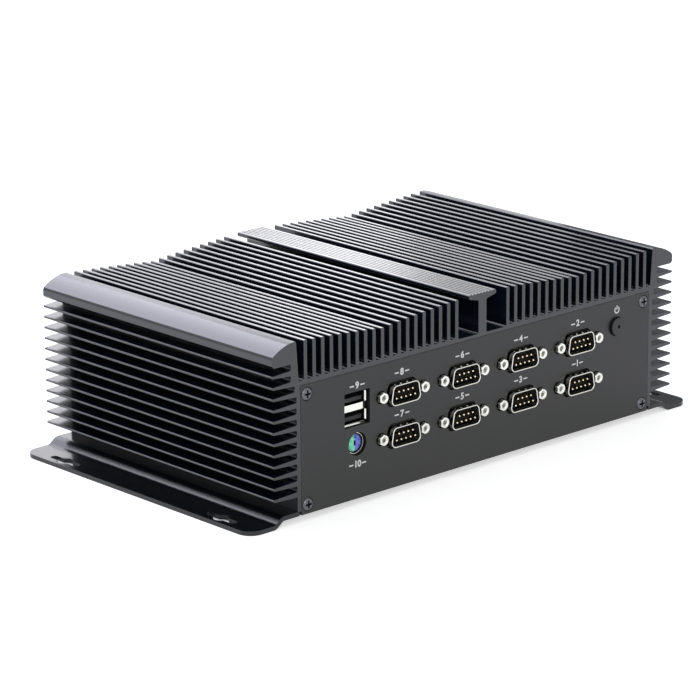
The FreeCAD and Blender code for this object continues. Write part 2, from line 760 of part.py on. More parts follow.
def video_body():
    """Insulator of the analog video port, with fifteen contact holes, up to the board."""
    front = panel_t + dsub_plate_t
    half = stack_block_w / 2
    half_h = dsub_plate[1] / 2
    core = block(-half, half, front, front + stack_depth, -half_h, board_under_h - video_h)
    nose = dsub_nose(-dsub_reach + 0.3, video_wide, video_shell_h)
    ear_w = dsub_plate[0] / 2
    ears = block(-ear_w, ear_w, front, front + stack_front_t, -half_h, half_h)
    cuts = [rod(sx * jack_span / 2, 0, bore_r, 0, jack_shank_len + seat_gap) for sx in (-1, 1)]
    for row in (-1, 0, 1):
        shift = video_hole_pitch / 2 if row == 0 else 0.0
        cuts += [rod((n - 2) * video_hole_pitch + shift - video_hole_pitch / 4,
                     row * video_hole_row, video_hole_r, -dsub_reach - 1, -dsub_reach + 3)
                 for n in range(5)]
    return cut_all(fused([core, nose, ears]), cuts)


def screen_wire(grow):
    """Outline of the digital video port: a flat box with bevelled lower corners."""
    w, h, c = screen_outer[0] / 2 + grow, screen_outer[1] / 2 + grow, screen_chamfer
    points = [(-w, h), (w, h), (w, -h + c), (w - c, -h), (-w + c, -h), (-w, -h + c), (-w, h)]
    return Part.makePolygon([V(x, 0, z) for x, z in points])


def screen_parts():
    """Digital video port: folded shell up to the board, and its tongue."""
    front = 0.5
    shell = slab(screen_wire(0), front, front + screen_depth)
    inner = slab(screen_wire(-screen_wall), front - 1, front + screen_depth - 1.5)
    top = board_under_h - screen_h
    saddle = block(-screen_outer[0] / 2, screen_outer[0] / 2, panel_t + 2, front + screen_depth,
                   0, top)
    shell = fused([shell, saddle]).cut(inner)
    bar = block(-5.2, 5.2, front + 1.2, front + screen_depth - 1.5, -0.2, 1.0)
    return shell, bar


def network_levels():
    """Middles of the two flat sockets and of the network socket, below the board."""
    top = -network_top_margin
    first = top - data_socket[1] / 2
    second = first - data_socket[1] - network_wall
    jack = second - data_socket[1] / 2 - network_wall - jack_socket[1] / 2
    return first, second, jack


def network_shell():
    """Metal shell of a stack: two flat sockets near the board, the network socket below."""
    front = 0.5
    half = network_outer[0] / 2
    first, second, jack = network_levels()
    solid = block(-half, half, front, front + network_depth, -network_outer[1], 0)
    latch = jack - jack_socket[1] / 2 - jack_latch[1]
    cuts = [socket_space(front, data_cavity, first), socket_space(front, data_cavity, second),
            block(-jack_socket[0] / 2, jack_socket[0] / 2, front - 1, front + jack_socket[2],
                  jack - jack_socket[1] / 2, jack + jack_socket[1] / 2),
            block(-jack_latch[0] / 2, jack_latch[0] / 2, front - 1, front + jack_socket[2],
                  latch, jack)]
    return cut_all(solid, cuts)


def network_insert():
    """Tongues of the flat sockets and the sloping contact block of the network socket."""
    front = 0.5
    first, second, jack = network_levels()
    back = front + jack_socket[2]
    roof = jack + jack_socket[1] / 2
    half = jack_socket[0] / 2 - fit_gap
    wedge = Part.makePolygon([V(-half, front + 4, roof - fit_gap), V(-half, back, roof - fit_gap),
                              V(-half, back, roof - contact_block_t - contact_slope),
                              V(-half, front + 4, roof - contact_block_t),
                              V(-half, front + 4, roof - fit_gap)])
    comb = Part.Face(wedge).extrude(V(2 * half, 0, 0))
    return [tongue(front, data_cavity, first), tongue(front, data_cavity, second), comb]


def audio_jack():
    """Round nose with its bore, and the block behind it up to the board."""
    half = audio_body[0] / 2
    front = panel_t + seat_gap
    body = fused([block(-half, half, front, front + audio_body[1], -half, board_under_h - audio_h),
                  rod(0, 0, audio_nose_r, 0, front + 1)])
    return body.cut(rod(0, 0, audio_bore_r, -1, audio_body[1]))


# ================================================================ board parts
def board_post():
    """Threaded post between the board and the deck, its stud up."""
    body = post(0, 0, post_r, board_top_h, deck_under_h)
    stud = post(0, 0, screw_r, deck_under_h, deck_under_h + post_stud)
    return fused([body, stud]).cut(post(0, 0, bore_r, board_top_h - 1,
                                        board_under_h + board_screw_len + seat_gap))


def mainboard():
    """Board with a hole at each post."""
    sheet = block(-board_half_x, board_half_x, -board_half_y, board_half_y,
                  board_under_h, board_top_h)
    return cut_all(sheet, [post(x, y, bore_r + fit_gap, 0, deck_under_h)
                           for x in post_x for y in post_y])


def edge_socket(width):
    """Card socket under the board: its mouth looks along +Y from y = 0."""
    body = block(-width / 2, width / 2, -socket_depth, 0, board_under_h - socket_t, board_under_h)
    mouth = block(-width / 2 + 1.5, width / 2 - 1.5, -socket_depth + 2, 1,
                  card_top_h - card_t - fit_gap, card_top_h + fit_gap)
    return body.cut(mouth)


def plug_in_card(size, chip, columns, rows):
    """Card with its chips, its plug-in edge in a socket whose mouth is at y = 0."""
    width, length = size
    start = -socket_depth + 2 + seat_gap
    parts = [block(-width / 2, width / 2, start, start + length, card_top_h - card_t, card_top_h)]
    pitch_x, pitch_y = width / columns, (length - socket_depth) / rows
    for i in range(columns):
        for j in range(rows):
            x = (i - (columns - 1) / 2) * pitch_x
            y = 1.5 + (j + 0.5) * pitch_y - 1.0
            parts.append(block(x - chip / 2, x + chip / 2, y - chip / 2, y + chip / 2,
                               card_top_h - card_t - chip_t, card_top_h - card_t))
    return fused(parts)


def card_post():
    """Post and screw in one that holds the free end of the storage card."""
    end = -socket_depth + 2 + seat_gap + storage_card_size[1]
    head = post(0, end, pan_head_r, card_top_h - card_t - pan_head_t, card_top_h - card_t)
    neck = post(0, end, screw_r - 0.5, card_top_h - card_t, card_top_h)
    return fused([head, neck, post(0, end, pan_head_r, card_top_h, board_under_h)])


def cell_holder():
    """Cup under the board that holds the coin cell."""
    low = board_under_h - cell_t - 1.2
    cup = post(0, 0, cell_r + 1.5, low, board_under_h)
    room = post(0, 0, cell_r + 2 * fit_gap, low - 1, board_under_h - 1.2)
    return cup.cut(room)


# ================================================================ assembly
def serial_port_parts(nodes):
    """Four columns of two ports each, numbered from the right, the lower one first."""
    port, jacks = jackscrew(), []
    shell, body, pins = dsub_shell(), serial_body(), serial_pins()
    for column, x in enumerate(serial_column_x, start=1):
        nodes[f"serial_stack_{column}_body"] = at_front(body, x, 0)
        group = []
        for level, h in enumerate((serial_low_h, serial_high_h)):
            nodes[f"serial_port_{2 * column - 1 + level}_shell"] = at_front(shell, x, h)
            group += [at_front(pin, x, h) for pin in pins]
            jacks += [at_front(port, x + sx * jack_span / 2, h) for sx in (-1, 1)]
        nodes[f"serial_stack_{column}_pins"] = Part.makeCompound(group)
    nodes["serial_port_jackscrews"] = Part.makeCompound(jacks)


def front_column_parts(nodes):
    """The pair of flat data ports over the round keyboard and mouse port."""
    sockets = data_sockets()
    front = panel_t + seat_gap
    x = front_column_x
    nodes["front_data_port_shell"] = at_front(
        data_shell_pair(data_shell, sockets, data_depth, data_cavity), x, data_port_h)
    nodes["front_data_port_tongues"] = Part.makeCompound(
        [at_front(tongue(front, data_cavity, h), x, data_port_h) for h in sockets])
    nodes["front_port_body"] = at_front(front_io_body(), x, 0)
    nodes["round_port_ring"] = at_front(ring(), x, round_port_h)
    nodes["round_port_mouse_half"] = at_front(round_port_half(-1), x, round_port_h)
    nodes["round_port_keyboard_half"] = at_front(round_port_half(1), x, round_port_h)


def rear_port_parts(nodes):
    """Everything that comes out of the rear panel."""
    body, pin = inlet_parts()
    nodes["power_inlet_body"] = at_rear(body, inlet_x, inlet_h)
    nodes["power_inlet_pin"] = at_rear(pin, inlet_x, inlet_h)
    nodes["analog_video_port_shell"] = at_rear(dsub_shell(video_wide, video_shell_h),
                                               video_x, video_h)
    nodes["analog_video_port_body"] = at_rear(video_body(), video_x, video_h)
    nodes["analog_video_port_jackscrews"] = Part.makeCompound(
        [at_rear(jackscrew(), video_x + sx * jack_span / 2, video_h) for sx in (-1, 1)])
    shell, bar = screen_parts()
    nodes["digital_video_port_shell"] = at_rear(shell, screen_x, screen_h)
    nodes["digital_video_port_tongue"] = at_rear(bar, screen_x, screen_h)
    for n, x in enumerate(network_x, start=1):
        nodes[f"network_stack_{n}_shell"] = at_rear(network_shell(), x, board_under_h)
        nodes[f"network_stack_{n}_insert"] = Part.makeCompound(
            [at_rear(piece, x, board_under_h) for piece in network_insert()])
    for name, x in zip(("line", "microphone"), audio_x):
        nodes[f"audio_jack_{name}"] = at_rear(audio_jack(), x, audio_h)


def board_parts(nodes):
    """The mainboard, what holds it and what it carries inside the case."""
    up = base_z
    places = [(x, y) for x in post_x for y in post_y]
    nodes["mainboard"] = moved(mainboard(), z=up)
    nodes["board_posts"] = Part.makeCompound([moved(board_post(), x, y, up) for x, y in places])
    nodes["board_screws"] = Part.makeCompound(
        [pointing_up(pan_screw(board_screw_len), x, y, up + board_under_h) for x, y in places])

    half_x, half_y = processor_size[0] / 2, processor_size[1] / 2
    processor_top = board_top_h + processor_t
    nodes["processor"] = moved(block(-half_x, half_x, -half_y, half_y, board_top_h,
                                     processor_top), z=up)
    half = spreader_size / 2
    spreader = block(-half, half, -half, half, processor_top, deck_under_h)
    seat = flat_screw_seat(deck_under_h - processor_top)
    corners = [(sx * spreader_screw_x, sy * spreader_screw_x)
               for sx in (-1, 1) for sy in (-1, 1)]
    nodes["heat_spreader"] = moved(
        cut_all(spreader, [pointing_up(seat, x, y, processor_top) for x, y in corners]), z=up)
    nodes["heat_spreader_screws"] = Part.makeCompound(
        [pointing_up(flat_screw(spreader_screw_len), x, y, up + processor_top)
         for x, y in corners])

    nodes["memory_socket"] = moved(edge_socket(memory_card_size[0] + 4), memory_x, memory_y, up)
    nodes["memory_card"] = moved(plug_in_card(memory_card_size, 9.0, 4, 1),
                                 memory_x, memory_y, up)
    nodes["storage_socket"] = moved(edge_socket(storage_card_size[0] + 4),
                                    storage_x, storage_y, up)
    card = plug_in_card(storage_card_size, 12.0, 2, 2)
    hole = post(0, -socket_depth + 2 + seat_gap + storage_card_size[1], screw_r - 0.5 + fit_gap,
                0, board_under_h)
    nodes["storage_card"] = moved(card.cut(hole), storage_x, storage_y, up)
    nodes["storage_card_post"] = moved(card_post(), storage_x, storage_y, up)
    nodes["coin_cell_holder"] = moved(cell_holder(), cell_x, cell_y, up)
    cell_low = board_under_h - 1.2 - cell_t
    nodes["coin_cell"] = post(cell_x, cell_y, cell_r, up + cell_low, up + board_under_h - 1.2)
    half = choke_size / 2
    nodes["board_chokes"] = Part.makeCompound(
        [block(x - half, x + half, choke_y - half, choke_y + half, up + board_under_h - choke_t,
               up + board_under_h) for x in power_part_x])
    nodes["board_capacitors"] = Part.makeCompound(
        [post(x, capacitor_y, capacitor_r, up + board_under_h - capacitor_t, up + board_under_h)
         for x in power_part_x])


def case_parts(nodes):
    """Extrusion, end panels, bottom plate and their screws."""
    nodes["heatsink_housing"] = heatsink_housing()
    nodes["bottom_plate"] = bottom_plate()

    cuts = []
    for x in serial_column_x:
        for h in (serial_low_h, serial_high_h):
            cuts += [through_panel(c, x, h) for c in dsub_panel_cut()]
    half_w, half_h = data_opening[0] / 2, data_opening[1] / 2
    cuts += [through_panel(block(-half_w, half_w, -1, panel_t + 1, -half_h, half_h),
                           front_column_x, data_port_h),
             rod(front_column_x, round_port_h, round_hole_r, -1, panel_t + 1),
             rod(button_x, button_h, button_r + button_hole_gap, -1, panel_t + 1)]
    nodes["front_panel"] = at_front(cut_all(blank_panel(), cuts), 0, 0)

    port_gap = seat_gap
    cuts = [through_panel(c, -video_x, video_h) for c in dsub_panel_cut(video_wide, video_shell_h)]
    cuts += [rod(-inlet_x, inlet_h, inlet_nose_r + port_gap, -1, panel_t + 1),
             moved(slab(screen_wire(port_gap), -1, panel_t + 1), -screen_x, 0, screen_h)]
    half = network_outer[0] / 2 + port_gap
    for x in network_x:
        cuts.append(block(-x - half, -x + half, -1, panel_t + 1,
                          board_under_h - network_outer[1] - port_gap, board_under_h + port_gap))
    for x in audio_x:
        cuts.append(rod(-x, audio_h, audio_nose_r + port_gap, -1, panel_t + 1))
    nodes["rear_panel"] = at_rear(cut_all(blank_panel(), cuts), 0, 0)

    places = [(sx * panel_screw_x, h) for sx in (-1, 1)
              for h in (panel_screw_low_h, panel_screw_high_h)]
    screw = flat_screw(end_screw_len)
    nodes["front_panel_screws"] = Part.makeCompound([at_front(screw, x, h) for x, h in places])
    nodes["rear_panel_screws"] = Part.makeCompound([at_rear(screw, x, h) for x, h in places])
    nodes["bottom_plate_screws"] = Part.makeCompound(
        [pointing_up(flat_screw(bottom_screw_len), sx * panel_screw_x, y, base_z)
         for sx in (-1, 1) for y in bottom_screw_y])


def button_parts(nodes):
    """The sprung power button and the switch behind it."""
    nodes["power_button"] = at_front(power_button(), button_x, button_h)
    nodes["power_switch_body"] = at_front(power_switch_body(), button_x, 0)


def main():
    """Build every piece and write one STEP file for each."""
    nodes = {}
    for build in (case_parts, board_parts, serial_port_parts, front_column_parts,
                  button_parts, rear_port_parts):
        build(nodes)
    os.makedirs("parts", exist_ok=True)
    for name, shape in nodes.items():
        shape.exportStep(os.path.join("parts", name + ".step"))
        print(f"{name:32s} solids {len(shape.Solids):2d}  volume {shape.Volume:10.1f} mm3"
              f"  valid {shape.isValid()}")


main()
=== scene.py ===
"""Looks of a fanless industrial computer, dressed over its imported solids.

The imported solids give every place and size. This script gives each of them a
finish, adds the parts that are too fine for them, such as the pressed dimples
of the port shells and the marks printed on the front panel, and sets up a
plain studio. Lengths in the code are in millimetres until a mesh is made.
"""

import logging
import math
from collections.abc import Callable, Iterable, Sequence
from dataclasses import dataclass
from enum import Enum

import bmesh
import bpy
from mathutils import Matrix, Vector


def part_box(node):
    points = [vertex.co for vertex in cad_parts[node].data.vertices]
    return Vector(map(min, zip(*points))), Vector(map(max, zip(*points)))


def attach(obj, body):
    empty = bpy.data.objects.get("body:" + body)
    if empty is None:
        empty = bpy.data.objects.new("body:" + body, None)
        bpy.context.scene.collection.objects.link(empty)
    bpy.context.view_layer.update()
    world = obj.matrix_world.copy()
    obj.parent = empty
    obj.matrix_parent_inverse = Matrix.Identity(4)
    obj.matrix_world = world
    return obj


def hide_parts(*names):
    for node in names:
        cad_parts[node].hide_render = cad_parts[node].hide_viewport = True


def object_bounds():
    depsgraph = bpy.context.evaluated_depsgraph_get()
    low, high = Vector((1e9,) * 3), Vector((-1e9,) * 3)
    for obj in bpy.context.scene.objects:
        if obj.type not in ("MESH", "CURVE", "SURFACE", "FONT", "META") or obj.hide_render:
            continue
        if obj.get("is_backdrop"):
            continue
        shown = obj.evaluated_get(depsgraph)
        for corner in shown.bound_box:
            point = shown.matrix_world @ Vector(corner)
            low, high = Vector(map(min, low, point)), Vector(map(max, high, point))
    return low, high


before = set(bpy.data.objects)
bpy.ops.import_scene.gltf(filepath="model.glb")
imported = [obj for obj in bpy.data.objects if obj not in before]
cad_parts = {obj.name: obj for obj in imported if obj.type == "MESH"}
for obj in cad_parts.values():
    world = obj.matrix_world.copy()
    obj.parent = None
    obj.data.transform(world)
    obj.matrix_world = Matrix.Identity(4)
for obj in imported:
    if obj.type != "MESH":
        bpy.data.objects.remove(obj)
cad_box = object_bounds()

MM = 0.001  # a millimetre in metres
CHASSIS = "chassis"
JACKSCREW_SPAN = 24.99  # between the two jackscrews of a port
WELD = 0.002  # vertices closer than this become one
SMOOTH_ANGLE = math.radians(35.0)  # edges sharper than this stay sharp
log = logging.getLogger("scene")

Colour = tuple[float, float, float]
Point = tuple[float, float]
Station = tuple[list[Point], float]
Mesh = bmesh.types.BMesh
Vert = bmesh.types.BMVert
Tree = bpy.types.NodeTree
Wire = bpy.types.NodeSocket


def srgb(red: int, green: int, blue: int) -> Colour:
    """Turn a colour in steps of 0 to 255 into linear light.

    Args:
        red: Red step.
        green: Green step.
        blue: Blue step.

    Returns:
        The colour in linear light.
    """
    def linear(step: int) -> float:
        """Linear light of one step."""
        share = step / 255
        return share / 12.92 if share <= 0.04045 else ((share + 0.055) / 1.055) ** 2.4
    return linear(red), linear(green), linear(blue)


# ---------------------------------------------------------------- shader nodes
def feed(tree: Tree, node: bpy.types.Node, inputs: dict[str | int, object]) -> None:
    """Link or set inputs of a node.

    Args:
        tree: The node's tree.
        node: The node.
        inputs: Socket or value for each input, by its name or number.
    """
    for key, value in inputs.items():
        if isinstance(value, Wire):
            tree.links.new(value, node.inputs[key])
        else:
            node.inputs[key].default_value = value


def add_node(tree: Tree, kind: str, inputs: dict[str | int, object] | None = None,
             **settings: object) -> bpy.types.Node:
    """Add a node and feed its inputs.

    Args:
        tree: Tree to add to.
        kind: Blender's name of the node type.
        inputs: Socket or value for each input, by its name or number.
        **settings: Properties to set on it.

    Returns:
        The new node.
    """
    node = tree.nodes.new(kind)
    for key, value in settings.items():
        setattr(node, key, value)
    feed(tree, node, inputs or {})
    return node


def add_maths(tree: Tree, operation: str, *values: object, clamp: bool = False) -> Wire:
    """Add a Math node fed by sockets or numbers, and return its output."""
    inputs = dict(enumerate(values))
    return add_node(tree, "ShaderNodeMath", inputs, operation=operation, use_clamp=clamp).outputs[0]


class Socket(Enum):
    """Kinds of group socket."""

    NUMBER = "NodeSocketFloat"
    VECTOR = "NodeSocketVector"
    COLOUR = "NodeSocketColor"


class Effect:
    """A shader node group with named inputs and outputs, built once."""

    def __init__(self, name: str, inputs: dict[str, tuple[Socket, object]],
                 outputs: dict[str, Socket]) -> None:
        """Start an empty group.

        Args:
            name: Name of the group.
            inputs: Name of each input with its kind and its default.
            outputs: Name of each output with its kind.
        """
        self.tree = bpy.data.node_groups.new(name, "ShaderNodeTree")
        for label, (kind, default) in inputs.items():
            socket = self.tree.interface.new_socket(label, in_out="INPUT", socket_type=kind.value)
            socket.default_value = default
        for label, kind in outputs.items():
            self.tree.interface.new_socket(label, in_out="OUTPUT", socket_type=kind.value)
        self.given = self.tree.nodes.new("NodeGroupInput").outputs
        self.result = self.tree.nodes.new("NodeGroupOutput")

    def add(self, kind: str, inputs: dict[str | int, object] | None = None,
            **settings: object) -> bpy.types.Node:
        """Add a node to the group; see add_node."""
        return add_node(self.tree, kind, inputs, **settings)

    def maths(self, operation: str, *values: object, clamp: bool = False) -> Wire:
        """Add a Math node to the group; see add_maths."""
        return add_maths(self.tree, operation, *values, clamp=clamp)

    def give(self, **results: Wire) -> None:
        """Link sockets to the group's outputs, by their names."""
        feed(self.tree, self.result, results)

    def place(self, tree: Tree, inputs: dict[str | int, object]) -> bpy.types.Node:
        """Put the group into a material.

        Args:
            tree: The material's node tree.
            inputs: Socket or value for each input of the group.

        Returns:
            The group node.
        """
        node = tree.nodes.new("ShaderNodeGroup")
        node.node_tree = self.tree
        feed(tree, node, inputs)
        return node


def grain_effect() -> Effect:
    """Streaks along one axis, as extruding or brushing leaves them.

    Returns:
        Group with inputs Stretch and Fineness, and outputs Streak and Height.
    """
    group = Effect("drawn_grain",
                   {"Stretch": (Socket.VECTOR, (1.0, 0.02, 1.0)), "Fineness": (Socket.NUMBER, 2500.0)},
                   {"Streak": Socket.NUMBER, "Height": Socket.NUMBER})
    place = group.add("ShaderNodeTexCoord").outputs["Object"]
    along = group.add("ShaderNodeVectorMath", {0: place, 1: group.given["Stretch"]},
                      operation="MULTIPLY").outputs[0]
    fineness = group.given["Fineness"]
    fine = group.add("ShaderNodeTexNoise",
                     {"Vector": along, "Scale": fineness, "Detail": 4.0, "Roughness": 0.65})
    broad = group.add("ShaderNodeTexNoise",
                      {"Vector": along, "Scale": group.maths("MULTIPLY", fineness, 0.12), "Detail": 2.0})
    mixed = group.maths("ADD", group.maths("MULTIPLY", fine.outputs["Fac"], 0.65),
                        group.maths("MULTIPLY", broad.outputs["Fac"], 0.35))
    sharp = group.add("ShaderNodeMapRange", {"Value": mixed, "From Min": 0.38, "From Max": 0.62})
    group.give(Height=mixed, Streak=sharp.outputs[0])
    return group


def speckle_effect() -> Effect:
    """Even fine grain, as blasting, moulding or powder leaves it.

    Returns:
        Group with input Fineness, and outputs Speckle and Height.
    """
    group = Effect("fine_speckle", {"Fineness": (Socket.NUMBER, 3000.0)},
                   {"Speckle": Socket.NUMBER, "Height": Socket.NUMBER})
    place = group.add("ShaderNodeTexCoord").outputs["Object"]
    fine = group.add("ShaderNodeTexNoise", {"Vector": place, "Scale": group.given["Fineness"],
                                            "Detail": 3.0, "Roughness": 0.6}).outputs["Fac"]
    spots = group.add("ShaderNodeMapRange", {"Value": fine, "From Min": 0.35, "From Max": 0.65})
    group.give(Height=fine, Speckle=spots.outputs[0])
    return group


def relief_effect() -> Effect:
    """Fine relief over softly rounded edges, with a mask of the edges.

    Returns:
        Group with inputs Height, Depth and Edge Radius, and outputs Normal and Edge.
    """
    group = Effect("edge_relief",
                   {"Height": (Socket.NUMBER, 0.5), "Depth": (Socket.NUMBER, 0.00002),
                    "Edge Radius": (Socket.NUMBER, 0.0002)},
                   {"Normal": Socket.VECTOR, "Edge": Socket.NUMBER})
    given = group.given
    bevel = group.add("ShaderNodeBevel", {"Radius": given["Edge Radius"]}, samples=6).outputs[0]
    bump = group.add("ShaderNodeBump",
                     {"Height": given["Height"], "Distance": given["Depth"], "Normal": bevel})
    true_normal = group.add("ShaderNodeNewGeometry").outputs["Normal"]
    across = group.add("ShaderNodeVectorMath", {0: bevel, 1: true_normal}, operation="DOT_PRODUCT")
    turned = group.maths("SUBTRACT", 1.0, across.outputs["Value"])
    group.give(Normal=bump.outputs[0], Edge=group.maths("MULTIPLY", turned, 6.0, clamp=True))
    return group


def tint_effect() -> Effect:
    """Two colours and two roughnesses mixed by one mask, and a painted highlight colour along edges.

    Returns:
        Group with inputs Mask, Dark, Light, Smooth, Rough, Edge, Highlight Colour and Highlight
        Share, and outputs Colour and Roughness.
    """
    group = Effect("tint_and_gloss",
                   {"Mask": (Socket.NUMBER, 0.5), "Dark": (Socket.COLOUR, (0, 0, 0, 1)),
                    "Light": (Socket.COLOUR, (1, 1, 1, 1)), "Smooth": (Socket.NUMBER, 0.2),
                    "Rough": (Socket.NUMBER, 0.4), "Edge": (Socket.NUMBER, 0.0),
                    "Worn": (Socket.COLOUR, (1, 1, 1, 1)), "Wear": (Socket.NUMBER, 0.0)},
                   {"Colour": Socket.COLOUR, "Roughness": Socket.NUMBER})
    given = group.given
    first, second, mixed = 6, 7, 2  # the colour sockets of a Mix node
    base = group.add("ShaderNodeMix", {"Factor": given["Mask"], first: given["Dark"],
                                       second: given["Light"]}, data_type="RGBA")
    # Painted highlight: the edge mask mixes in a lighter colour that stands in for light caught along
    # edges.
    worn = group.maths("MULTIPLY", given["Edge"], given["Wear"], clamp=True)
    colour = group.add("ShaderNodeMix", {"Factor": worn, first: base.outputs[mixed],
                                         second: given["Worn"]}, data_type="RGBA")
    gloss = group.add("ShaderNodeMapRange", {"Value": given["Mask"], "To Min": given["Smooth"],
                                             "To Max": given["Rough"]})
    group.give(Colour=colour.outputs[mixed], Roughness=gloss.outputs[0])
    return group


GRAIN = grain_effect()
SPECKLE = speckle_effect()
RELIEF = relief_effect()
TINT = tint_effect()


def new_material(name: str) -> tuple[bpy.types.Material, bpy.types.Node]:
    """Make a material with a shader.

    Args:
        name: Name of the material.

    Returns:
        The material and its shader.
    """
    made = bpy.data.materials.new(name)
    made.use_nodes = True
    return made, made.node_tree.nodes["Principled BSDF"]


# ---------------------------------------------------------------- finishes
@dataclass(frozen=True)
class Finish:
    """What every finish has: a name, a colour, how far it varies, and its gloss.

    Attributes:
        name: Name of the material.
        colour: Middle colour in linear light.
        spread: Share by which the colour varies to both sides.
        smooth: Roughness where the surface is smoothest.
        rough: Roughness where it is roughest.
        depth: Depth of the relief, in millimetres.
        edge_radius: How far the light treats edges as rounded, in millimetres.
        wear: Share of the painted highlight colour along the edges.
        worn: Colour of the highlight painted along the edges.
        metallic: 1 for bare metal, 0 for anything coated or moulded.
        ior: Refractive index of the surface.
    """

    name: str
    colour: Colour
    spread: float = 0.12
    smooth: float = 0.3
    rough: float = 0.42
    depth: float = 0.01
    edge_radius: float = 0.15
    wear: float = 0.0
    worn: Colour = (0.3, 0.3, 0.31)
    metallic: float = 0.0
    ior: float = 1.5

    def pattern(self, tree: Tree) -> tuple[Wire, Wire]:
        """Add the pattern that varies this finish.

        Args:
            tree: The material's node tree.

        Returns:
            The mask of the variation, and the height of the relief.
        """
        raise NotImplementedError

    def dress(self, shader: bpy.types.Node) -> None:
        """Set what else a kind of finish has on its shader."""

    def material(self) -> bpy.types.Material:
        """Make this finish's material, or return the one already made.

        Returns:
            The material.
        """
        made = bpy.data.materials.get(self.name)
        if made:
            return made
        made, shader = new_material(self.name)
        tree = made.node_tree
        mask, height = self.pattern(tree)
        dark, light = ((*[min(1.0, c * share) for c in self.colour], 1.0)
                       for share in (1 - self.spread, 1 + self.spread))
        relief = RELIEF.place(tree, {"Height": height, "Depth": self.depth * MM,
                                     "Edge Radius": self.edge_radius * MM})
        # The tint also paints the edge highlight.
        tint = TINT.place(tree, {"Mask": mask, "Dark": dark, "Light": light, "Smooth": self.smooth,
                                 "Rough": self.rough, "Edge": relief.outputs["Edge"],
                                 "Worn": (*self.worn, 1.0), "Wear": self.wear})
        feed(tree, shader, {"Base Color": tint.outputs["Colour"], "Metallic": self.metallic,
                            "Roughness": tint.outputs["Roughness"], "IOR": self.ior,
                            "Normal": relief.outputs["Normal"]})
        made.diffuse_color = (*self.colour, 1.0)
        self.dress(shader)
        return made


@dataclass(frozen=True)
class DrawnFinish(Finish):
    """Metal or coating with streaks along one direction.

    Attributes:
        stretch: How much each axis counts in the pattern; a small share gives long streaks.
        fineness: Streaks per metre across the grain.
    """

    stretch: tuple[float, float, float] = (1.0, 0.012, 1.0)
    fineness: float = 1800.0

    def pattern(self, tree: Tree) -> tuple[Wire, Wire]:
        """Add the streaks; see Finish.pattern."""
        grain = GRAIN.place(tree, {"Stretch": self.stretch, "Fineness": self.fineness})
        return grain.outputs["Streak"], grain.outputs["Height"]


@dataclass(frozen=True)
class GrainyFinish(Finish):
    """Blasted, powdered, plated or moulded surface with an even fine grain.

    Attributes:
        fineness: Grains per metre.
    """

    fineness: float = 2600.0

    def pattern(self, tree: Tree) -> tuple[Wire, Wire]:
        """Add the grain; see Finish.pattern."""
        speckle = SPECKLE.place(tree, {"Fineness": self.fineness})
        return speckle.outputs["Speckle"], speckle.outputs["Height"]


@dataclass(frozen=True)
class LacqueredFinish(GrainyFinish):
    """Grainy finish under a thin clear lacquer.

    Attributes:
        lacquer: Weight of the lacquer.
    """

    lacquer: float = 0.4

    def dress(self, shader: bpy.types.Node) -> None:
        """Add the lacquer."""
        shader.inputs["Coat Weight"].default_value = self.lacquer
        shader.inputs["Coat Roughness"].default_value = 0.12


def moulded(name: str, colour: Colour, spread: float = 0.06) -> GrainyFinish:
    """Satin finish of a moulded plastic.

    Args:
        name: Last word of the material's name.
        colour: Its colour.
        spread: Share by which the colour varies.

    Returns:
        The finish.
    """
    return GrainyFinish("moulded_" + name, colour, spread, smooth=0.35, rough=0.45, depth=0.004)


# Lighter colour painted along the edges of the extrusion, panel, sheet and black screws: a painted edge
# highlight.
EDGE_HIGHLIGHT = (0.26, 0.27, 0.31)
EXTRUSION = DrawnFinish("black_anodised_extrusion", srgb(10, 17, 28), spread=0.2, smooth=0.18,
                        rough=0.22, depth=0.0008, fineness=4600.0, edge_radius=0.42, wear=0.18,
                        worn=EDGE_HIGHLIGHT, ior=1.65)
PANEL = GrainyFinish("black_anodised_panel", srgb(23, 24, 25), rough=0.4, depth=0.006, wear=0.1)
SHEET = GrainyFinish("black_coated_sheet", srgb(10, 15, 20), spread=0.15, smooth=0.17, rough=0.25,
                     depth=0.004, fineness=1500.0, wear=0.15, worn=EDGE_HIGHLIGHT)
# Bright nickel of the port shells; the same material also paints glints on the centre rail's front
# slopes.
NICKEL_AND_GLINT = GrainyFinish("bright_nickel_and_painted_glint", srgb(226, 226, 220), spread=0.05, smooth=0.07, rough=0.14,
                      depth=0.002, edge_radius=0.06, metallic=1.0)
SCREW = GrainyFinish("screw_nickel", srgb(222, 222, 216), spread=0.06, smooth=0.09, rough=0.18,
                     depth=0.003, edge_radius=0.1, metallic=1.0)
SCREW_BLACK = GrainyFinish("screw_black_nickel", srgb(100, 101, 105), smooth=0.12, rough=0.22,
                           depth=0.003, edge_radius=0.08, wear=0.35, worn=(0.5, 0.5, 0.52),
                           metallic=1.0)
# Darker, rougher metal for the port shells' flanges behind the panel: painted shade where the flanges
# lie in shadow.
FLANGE_SHADE_TIN = GrainyFinish("tin_with_painted_shade", srgb(58, 58, 56), spread=0.15, smooth=0.4, rough=0.55,
                        depth=0.004, edge_radius=0.06, metallic=1.0)
GOLD = GrainyFinish("gold_flash", srgb(246, 234, 208), spread=0.06, smooth=0.07, rough=0.13,
                    depth=0.001, edge_radius=0.05, metallic=1.0)
